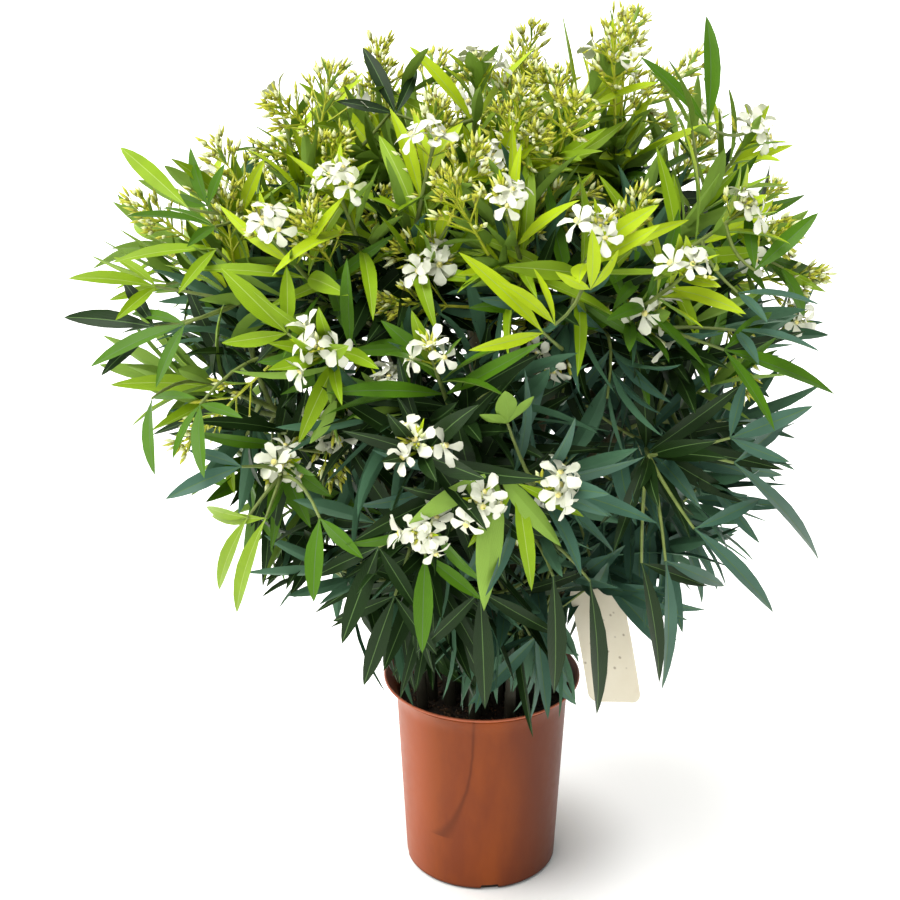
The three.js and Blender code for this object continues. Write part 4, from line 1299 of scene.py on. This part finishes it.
def build_soil(settings):
    """A crumbly top over a plain plug, with bark chips half sunk in it."""
    inset = POT.wall + GAP
    bottom = POT.floor + GAP
    neck = POT.height - POT.flare
    outer = pot_outer_radius(neck) - inset
    profile = [(outer * i / CRUMBS.rings, SOIL_TOP) for i in range(CRUMBS.rings + 1)]
    profile += [(outer, neck), (pot_outer_radius(bottom) - inset, bottom), (0, bottom)]
    bm = bmesh.new()
    spin_profile(bm, profile, POT.sides)
    for vert in bm.verts:
        radius = math.hypot(vert.co.x, vert.co.y)
        if vert.co.z > SOIL_TOP - CRUMBS.depth and radius < outer - CRUMBS.edge:
            rough = sum(noise.noise(vert.co * rate) * high for rate, high in CRUMBS.sizes)
            vert.co.z += rough * min(1, (outer - radius) / CRUMBS.margin)
    dark, brown = settings.compost[:], linear("#3a2a1b")
    # Moist peat compost: nearly black, with brown fibres between the crumbs and no gloss.
    compost = material_of("moist_compost", soft_skin, dark, brown, 6, 0.95, 0.9, 2.5)
    add_piece(mesh_from(bm, "compost", [compost], CRUMBS.sharp_angle), "compost", "soil")

    chip = bmesh.new()
    bmesh.ops.create_icosphere(chip, subdivisions=1, radius=1)
    shape = shape_from(chip)
    draw = seeded_random(SEED + SEEDS.chips)
    heap = Heap()
    for _ in range(CHIPS.count):
        radius, turn = outer * CHIPS.reach * math.sqrt(draw()), draw() * TAU
        size = [lerp(*CHIPS.long, draw() ** 2), lerp(*CHIPS.wide, draw()), lerp(*CHIPS.high, draw())]
        spin = Matrix.Rotation(draw() * TAU, 3, "Z") @ Matrix.Rotation((draw() - 0.5) * CHIPS.tilt, 3, "X")
        spot = np.array([radius * math.cos(turn), radius * math.sin(turn), SOIL_TOP + CHIPS.lift])
        heap.add(shape, ((shape.places * size) @ np.array(spin).T + spot)[None])
    # Composted bark: dull flakes, a lighter brown than the peat they lie in.
    bark = material_of("composted_bark", soft_skin, linear("#2a1c11"), linear("#5b4128"), 9, 0.9, 0.6)
    add_piece(heap.mesh("bark_chips", [bark]), "compost", "soil")


def build_canes(plan):
    """Every cane from its foot to its mass, with bark relief: it swells and narrows from ring to ring."""
    heap = Heap()
    shape = tube_shape(BARK.sides, BARK.steps)
    nodes = [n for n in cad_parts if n.startswith("cane_")] + ["main_stem"]
    rings = np.arange(BARK.steps + 1)
    # A ring's radius is read at one of the tube's first vertices, all near the foot, so a cane barely tapers.
    first = shape.places[rings]
    step = np.rint(first[:, 2]).astype(int)
    turn = np.arctan2(first[:, 1], first[:, 0])
    for number, cane in enumerate(plan.canes):
        radii = np.array([cane_radius(cane, i / BARK.steps) for i in rings])
        scars = np.clip(np.sin(rings * BARK.scar_rate + number), BARK.scar_least, 1)
        scars = 1 + BARK.scar * scars - BARK.scar_middle
        swell = 1
        for rate, high, twist, shift in BARK.waves:
            swell = swell + high * np.sin(turn * rate + step * twist + number * shift)
        places = tube_places(shape, points_along(cane.points, BARK.steps), (radii * scars)[step] * swell)
        places[:, 2] = np.maximum(places[:, 2], SOIL_TOP + GAP)
        heap.add(shape, places[None])
    add_piece(heap.mesh("canes", [material_of("oleander_bark", bark_skin)]), "bark", *nodes)


def build_twigs(plan):
    heap = Heap()
    shapes = [tube_shape(*tube) for tube in LIMB_TUBES]
    for points, root_radius, tip_radius, level in plan.twigs:
        path = points_along(points, LIMB_TUBES[level][1])
        heap.add(shapes[level], tapered_tube(shapes[level], path, root_radius, tip_radius))
    # Young green wood: a smooth olive skin with a soft sheen.
    twig = material_of("green_twig", soft_skin, linear("#56662c"), linear("#74823e"), 14, 0.55)
    add_piece(heap.mesh("twigs", [twig]), "bark", *foliage_nodes(*(ring.name for ring in RINGS)))


def leaf_materials(crown):
    """The greens of GREEN, then two midribs, then two backs.

    Leathery oleander leaves: yellow-green and soft when young and in painted light, dark and glossier when
    old and in painted shade, bluish in the painted shade on the right, and dull behind.
    """
    looks = (
        ("young_leaf", crown.young[:], 0.45),
        ("light_leaf", crown.light[:], 0.42),
        ("middle_leaf", crown.middle[:], 0.4),
        ("dark_leaf", crown.dark[:], 0.4),
        ("blue_leaf", crown.blue[:], 0.38),
        ("pale_midrib", linear("#8ea34a"), 0.5, 0.1),
        ("dull_midrib", linear("#4b6636"), 0.5, 0.1),
        ("pale_leaf_back", linear("#75943a"), 0.55),
        ("grey_leaf_back", linear("#42644a"), 0.55),
    )
    return [material_of(name, leaf_skin, *look) for name, *look in looks]


def build_leaves(plan, crown):
    shape, materials = leaf_shape(), leaf_materials(crown)
    pattern = shape.places[:, :2] + [0.5, 0]
    upper, lower = ("leaves_upper", "top", "upper"), ("leaves_lower", "lower", "skirt")
    for name, *rings in (upper, ("leaves_middle", "middle"), lower):
        rows = [row for ring in rings for row in plan.leaves[ring]]
        slots = leaf_slots(shape, [row[-1] for row in rows], GREEN.blue + 1)
        heap = Heap()
        heap.add(shape, leaf_places(shape, rows), slots, pattern)
        add_piece(heap.mesh(name, materials), "foliage", *foliage_nodes(*rings))


def build_blossom(plan, crown):
    out = Named(stalks=[], bracts=[], flowers=[], buds=[])
    for head in plan.heads:
        grow_head(head, out)
    stalks, bracts, buds, flowers = (Heap() for _ in range(4))
    tube, blade, bud = tube_shape(4, 1), leaf_shape(), bud_shape()
    for path, root_radius, tip_radius in out.stalks:
        stalks.add(tube, tapered_tube(tube, path, root_radius, tip_radius))
    bent = CYME.bract_bend, CYME.bract_twist, 0.0, 0
    rows = [
        (*root, *heading, *(-radial), size, size * CYME.bract_width, *bent)
        for root, heading, radial, size in out.bracts
    ]
    bracts.add(blade, leaf_places(blade, rows), np.where(blade.slots == 2, 1, 0))
    for root, heading, long_, age in out.buds:
        radius = CYME.bud_radius * lerp(*CYME.bud_radii, age)
        slots = np.where(bud.slots == 1, 2, 0 if age > CYME.cream_age else 1)
        buds.add(bud, set_upright(bud, root, heading, (radius, radius, long_), age * TAU)[None], slots)
    kinds = [flower_shape(openness) for openness in FLOWER.openness]
    for root, heading, age in out.flowers:
        shape = kinds[int(age * FLOWER.kind_span)]
        size = lerp(*FLOWER.sizes, age * FLOWER.size_rate % 1)
        flowers.add(shape, set_upright(shape, root, heading, size, age * FLOWER.spin)[None])

    # Fresh blossom has a soft sheen: yellow-green stalks, cream or green buds in olive calyxes, off-white
    # petals and a yellow throat.
    looks = (
        ("flower_stalk", "#9da722", "#bdc03c", 9, 0.5),
        ("flower_bud", "#d9dcae", "#c3cc88", 7, 0.5),
        ("young_bud", "#bcbf3a", "#a3a424", 7, 0.5),
        ("calyx", "#8a9f42", "#9c8a4a", 5, 0.55),
        ("white_petal", "#dfe0d0", "#cdd0b8", 12, 0.5),
        ("flower_tube", "#dfe3b8", "#c9d18c", 6, 0.5),
        ("flower_throat", "#e9dc92", "#d7cf78", 4, 0.6),
    )
    stalk, *rest = (material_of(look[0], soft_skin, *map(linear, look[1:3]), *look[3:]) for look in looks)
    greens = {material.name: material for material in leaf_materials(crown)}
    pieces = (
        ("flower_stalks", stalks, [stalk]),
        ("flower_bracts", bracts, [greens["young_leaf"], greens["pale_leaf_back"]]),
        ("flower_buds", buds, rest[:3]),
        ("white_flowers", flowers, rest[3:]),
    )
    for name, heap, materials in pieces:
        add_piece(heap.mesh(name, materials), "foliage", *foliage_nodes("top", "upper", "middle", "lower"))


def build_label(label):
    """A bare plastic tag, bowed and scuffed, on a strap that loops round its cane."""
    bm = bmesh.new()
    half, height = LABEL.width / 2, LABEL.height
    corners = [(-half, 0), (-half, -height), (half, -height), (half, 0)]
    face = bm.faces.new([bm.verts.new((x, y, 0)) for x, y in corners])
    bmesh.ops.bevel(
        bm, geom=face.verts[:], offset=LABEL.corner, segments=6, profile=0.5, affect="VERTICES", material=-1
    )
    cuts = ((0, 1, 0), 0, -height), ((1, 0, 0), -half, LABEL.width)
    for count, (way, start, span) in zip(LABEL.strips, cuts):
        for i in range(1, count):
            geometry = bm.verts[:] + bm.edges[:] + bm.faces[:]
            place = Vector(way) * (start + span * i / count)
            bmesh.ops.bisect_plane(bm, geom=geometry, plane_co=place, plane_no=way)
    bmesh.ops.solidify(bm, geom=bm.faces[:], thickness=LABEL.thickness)
    low = min(v.co.z for v in bm.verts)
    for vert in bm.verts:
        bow = LABEL.curl * (vert.co.x / half) ** 2 - LABEL.bow * math.sin(-vert.co.y / height * math.pi)
        vert.co.z += bow - low - LABEL.thickness / 2
    strap = bmesh.ops.create_cube(bm, size=1)["verts"]
    length = LABEL.strap_length + LABEL.strap_lap
    bmesh.ops.scale(bm, verts=strap, vec=(LABEL.strap_width, length, LABEL.strap_thickness))
    bmesh.ops.translate(bm, verts=strap, vec=(0, (LABEL.strap_length - LABEL.strap_lap) / 2, 0))
    place = Matrix((label.wide, -label.down, label.face)).transposed().to_4x4()
    place.translation = label.top
    bmesh.ops.transform(bm, matrix=place, verts=bm.verts[:])
    ring = bmesh.new()
    tall, inner, outer = LABEL.ring_height / 2, label.bore, label.bore + LABEL.ring_wall
    section = ((inner, -tall), (outer, -tall), (outer, tall), (inner, tall), (inner, -tall))
    spin_profile(ring, section, LABEL.ring_sides)
    turn = UP.rotation_difference(label.axis).to_matrix().to_4x4()
    turn.translation = label.ring
    bmesh.ops.transform(ring, matrix=turn, verts=ring.verts[:])
    loop = bpy.data.meshes.new("loop")
    ring.to_mesh(loop)
    ring.free()
    bm.from_mesh(loop)
    bpy.data.meshes.remove(loop)
    card = material_of("weathered_label_card", card_skin)
    add_piece(mesh_from(bm, "bare_label", [card]), "label_card", "label")


def build_stage(settings):
    scene = bpy.context.scene
    bm = bmesh.new()
    bmesh.ops.create_grid(bm, x_segments=2, y_segments=2, size=STAGE.floor_half)
    paper = material_of("studio_floor", floor_skin)
    floor = bpy.data.objects.new("studio_floor", mesh_from(bm, "studio_floor", [paper]))
    scene.collection.objects.link(floor)

    world = bpy.data.worlds.new("studio_light")
    world.use_nodes = True
    tree = world.node_tree
    back = tree.nodes["Background"]
    back.inputs["Strength"].default_value = settings.sky
    # A lit wall on the left and a dim, cooler one on the right give soft light with a direction.
    x, y, z = add_node(tree, "SeparateXYZ", {0: add_node(tree, "TexCoord")["Generated"]})
    side = add_node(tree, "MapRange", {"Value": x, "From Min": -0.8, "From Max": 0.8})[0]
    walls = {"Factor": side, MIX_A: STAGE.left, MIX_B: STAGE.right}
    walls = add_node(tree, "Mix", walls, data_type="RGBA")[MIX_OUT]
    # More of it comes from behind the plant than from the front, so that the crown's heart stays dark.
    behind = {"Value": y, "From Min": -0.8, "From Max": 0.8, "To Min": 0.4, "To Max": 1.45}
    behind = add_node(tree, "MapRange", behind)[0]
    walls = add_node(tree, "VectorMath", {0: walls, "Scale": behind}, operation="SCALE")[0]
    # Near the horizon every side is white, so that the floor's far edge doesn't show.
    high = {"Value": z, "From Min": 0.1, "From Max": 0.4}
    high = add_node(tree, "MapRange", high, interpolation_type="SMOOTHSTEP")[0]
    room = {"Factor": high, MIX_A: STAGE.horizon, MIX_B: walls}
    tree.links.new(add_node(tree, "Mix", room, data_type="RGBA")[MIX_OUT], back.inputs["Color"])
    scene.world = world

    for name, share, softness, turn in STAGE.lamps:
        light = bpy.data.lights.new(name, "SUN")
        light.energy = settings.sun * share
        light.angle = math.radians(softness)
        lamp = bpy.data.objects.new(name, light)
        lamp.rotation_euler = [math.radians(a) for a in turn]
        scene.collection.objects.link(lamp)

    camera = bpy.data.cameras.new("camera")
    camera.lens = settings.lens
    camera.sensor_width = 36
    camera.clip_end = 200
    view = bpy.data.objects.new("camera", camera)
    view.location = (STAGE.camera_aside, -settings.distance, settings.height)
    view.rotation_euler = (math.pi / 2 - settings.pitch, 0, 0)
    scene.collection.objects.link(view)
    scene.camera = view
    scene.view_settings.view_transform = "Standard"


# Operators, panel and main.

PLAN = {}


def crown_plan():
    """The crown is planned once and shared by the pieces that grow from it."""
    if "crown" not in PLAN:
        PLAN["crown"] = plan_crown(bpy.context.scene.oleander_crown)
    return PLAN["crown"]


class OLEANDER_OT_pot(bpy.types.Operator):
    """Build the nursery pot"""

    bl_idname = "oleander.pot"
    bl_label = "Pot"

    def execute(self, context):
        build_pot(context.scene.oleander_pot)
        return {"FINISHED"}


class OLEANDER_OT_compost(bpy.types.Operator):
    """Build the compost and its bark chips"""

    bl_idname = "oleander.compost"
    bl_label = "Compost"

    def execute(self, context):
        build_soil(context.scene.oleander_pot)
        return {"FINISHED"}


class OLEANDER_OT_canes(bpy.types.Operator):
    """Build the main stem and the canes"""

    bl_idname = "oleander.canes"
    bl_label = "Canes"

    def execute(self, context):
        build_canes(crown_plan())
        return {"FINISHED"}


class OLEANDER_OT_leaves(bpy.types.Operator):
    """Build the twigs and leaves of every mass"""

    bl_idname = "oleander.leaves"
    bl_label = "Twigs and leaves"

    def execute(self, context):
        build_twigs(crown_plan())
        build_leaves(crown_plan(), context.scene.oleander_crown)
        return {"FINISHED"}


class OLEANDER_OT_blossom(bpy.types.Operator):
    """Build the flower heads, buds and flowers"""

    bl_idname = "oleander.blossom"
    bl_label = "Blossom"

    def execute(self, context):
        build_blossom(crown_plan(), context.scene.oleander_crown)
        return {"FINISHED"}


class OLEANDER_OT_label(bpy.types.Operator):
    """Build the bare hanging label"""

    bl_idname = "oleander.label"
    bl_label = "Label"

    def execute(self, context):
        build_label(crown_plan().label)
        return {"FINISHED"}


class OLEANDER_OT_stage(bpy.types.Operator):
    """Set up the floor, the lights and the camera"""

    bl_idname = "oleander.stage"
    bl_label = "Stage"

    def execute(self, context):
        build_stage(context.scene.oleander_stage)
        return {"FINISHED"}


OPERATORS = (
    OLEANDER_OT_pot,
    OLEANDER_OT_compost,
    OLEANDER_OT_canes,
    OLEANDER_OT_leaves,
    OLEANDER_OT_blossom,
    OLEANDER_OT_label,
    OLEANDER_OT_stage,
)
SETTINGS = {
    "oleander_pot": OleanderPotSettings,
    "oleander_crown": OleanderCrownSettings,
    "oleander_stage": OleanderStageSettings,
}


class OLEANDER_PT_panel(bpy.types.Panel):
    """Lists the oleander's pieces and settings"""

    bl_idname = "OLEANDER_PT_panel"
    bl_label = "Oleander"
    bl_space_type = "VIEW_3D"
    bl_region_type = "UI"
    bl_category = "Oleander"

    def draw(self, context):
        for name, group in SETTINGS.items():
            column = self.layout.column()
            for field in group.__annotations__:
                column.prop(getattr(context.scene, name), field)
        for operator in OPERATORS:
            self.layout.operator(operator.bl_idname)


def register():
    for item in (*SETTINGS.values(), *OPERATORS, OLEANDER_PT_panel):
        bpy.utils.register_class(item)
    for name, group in SETTINGS.items():
        setattr(bpy.types.Scene, name, bpy.props.PointerProperty(type=group))


def unregister():
    for name in SETTINGS:
        delattr(bpy.types.Scene, name)
    for item in reversed((*SETTINGS.values(), *OPERATORS, OLEANDER_PT_panel)):
        bpy.utils.unregister_class(item)


def main():
    register()
    for operator in OPERATORS:
        group, name = operator.bl_idname.split(".")
        getattr(getattr(bpy.ops, group), name)()


if __name__ == "__main__":
    main()
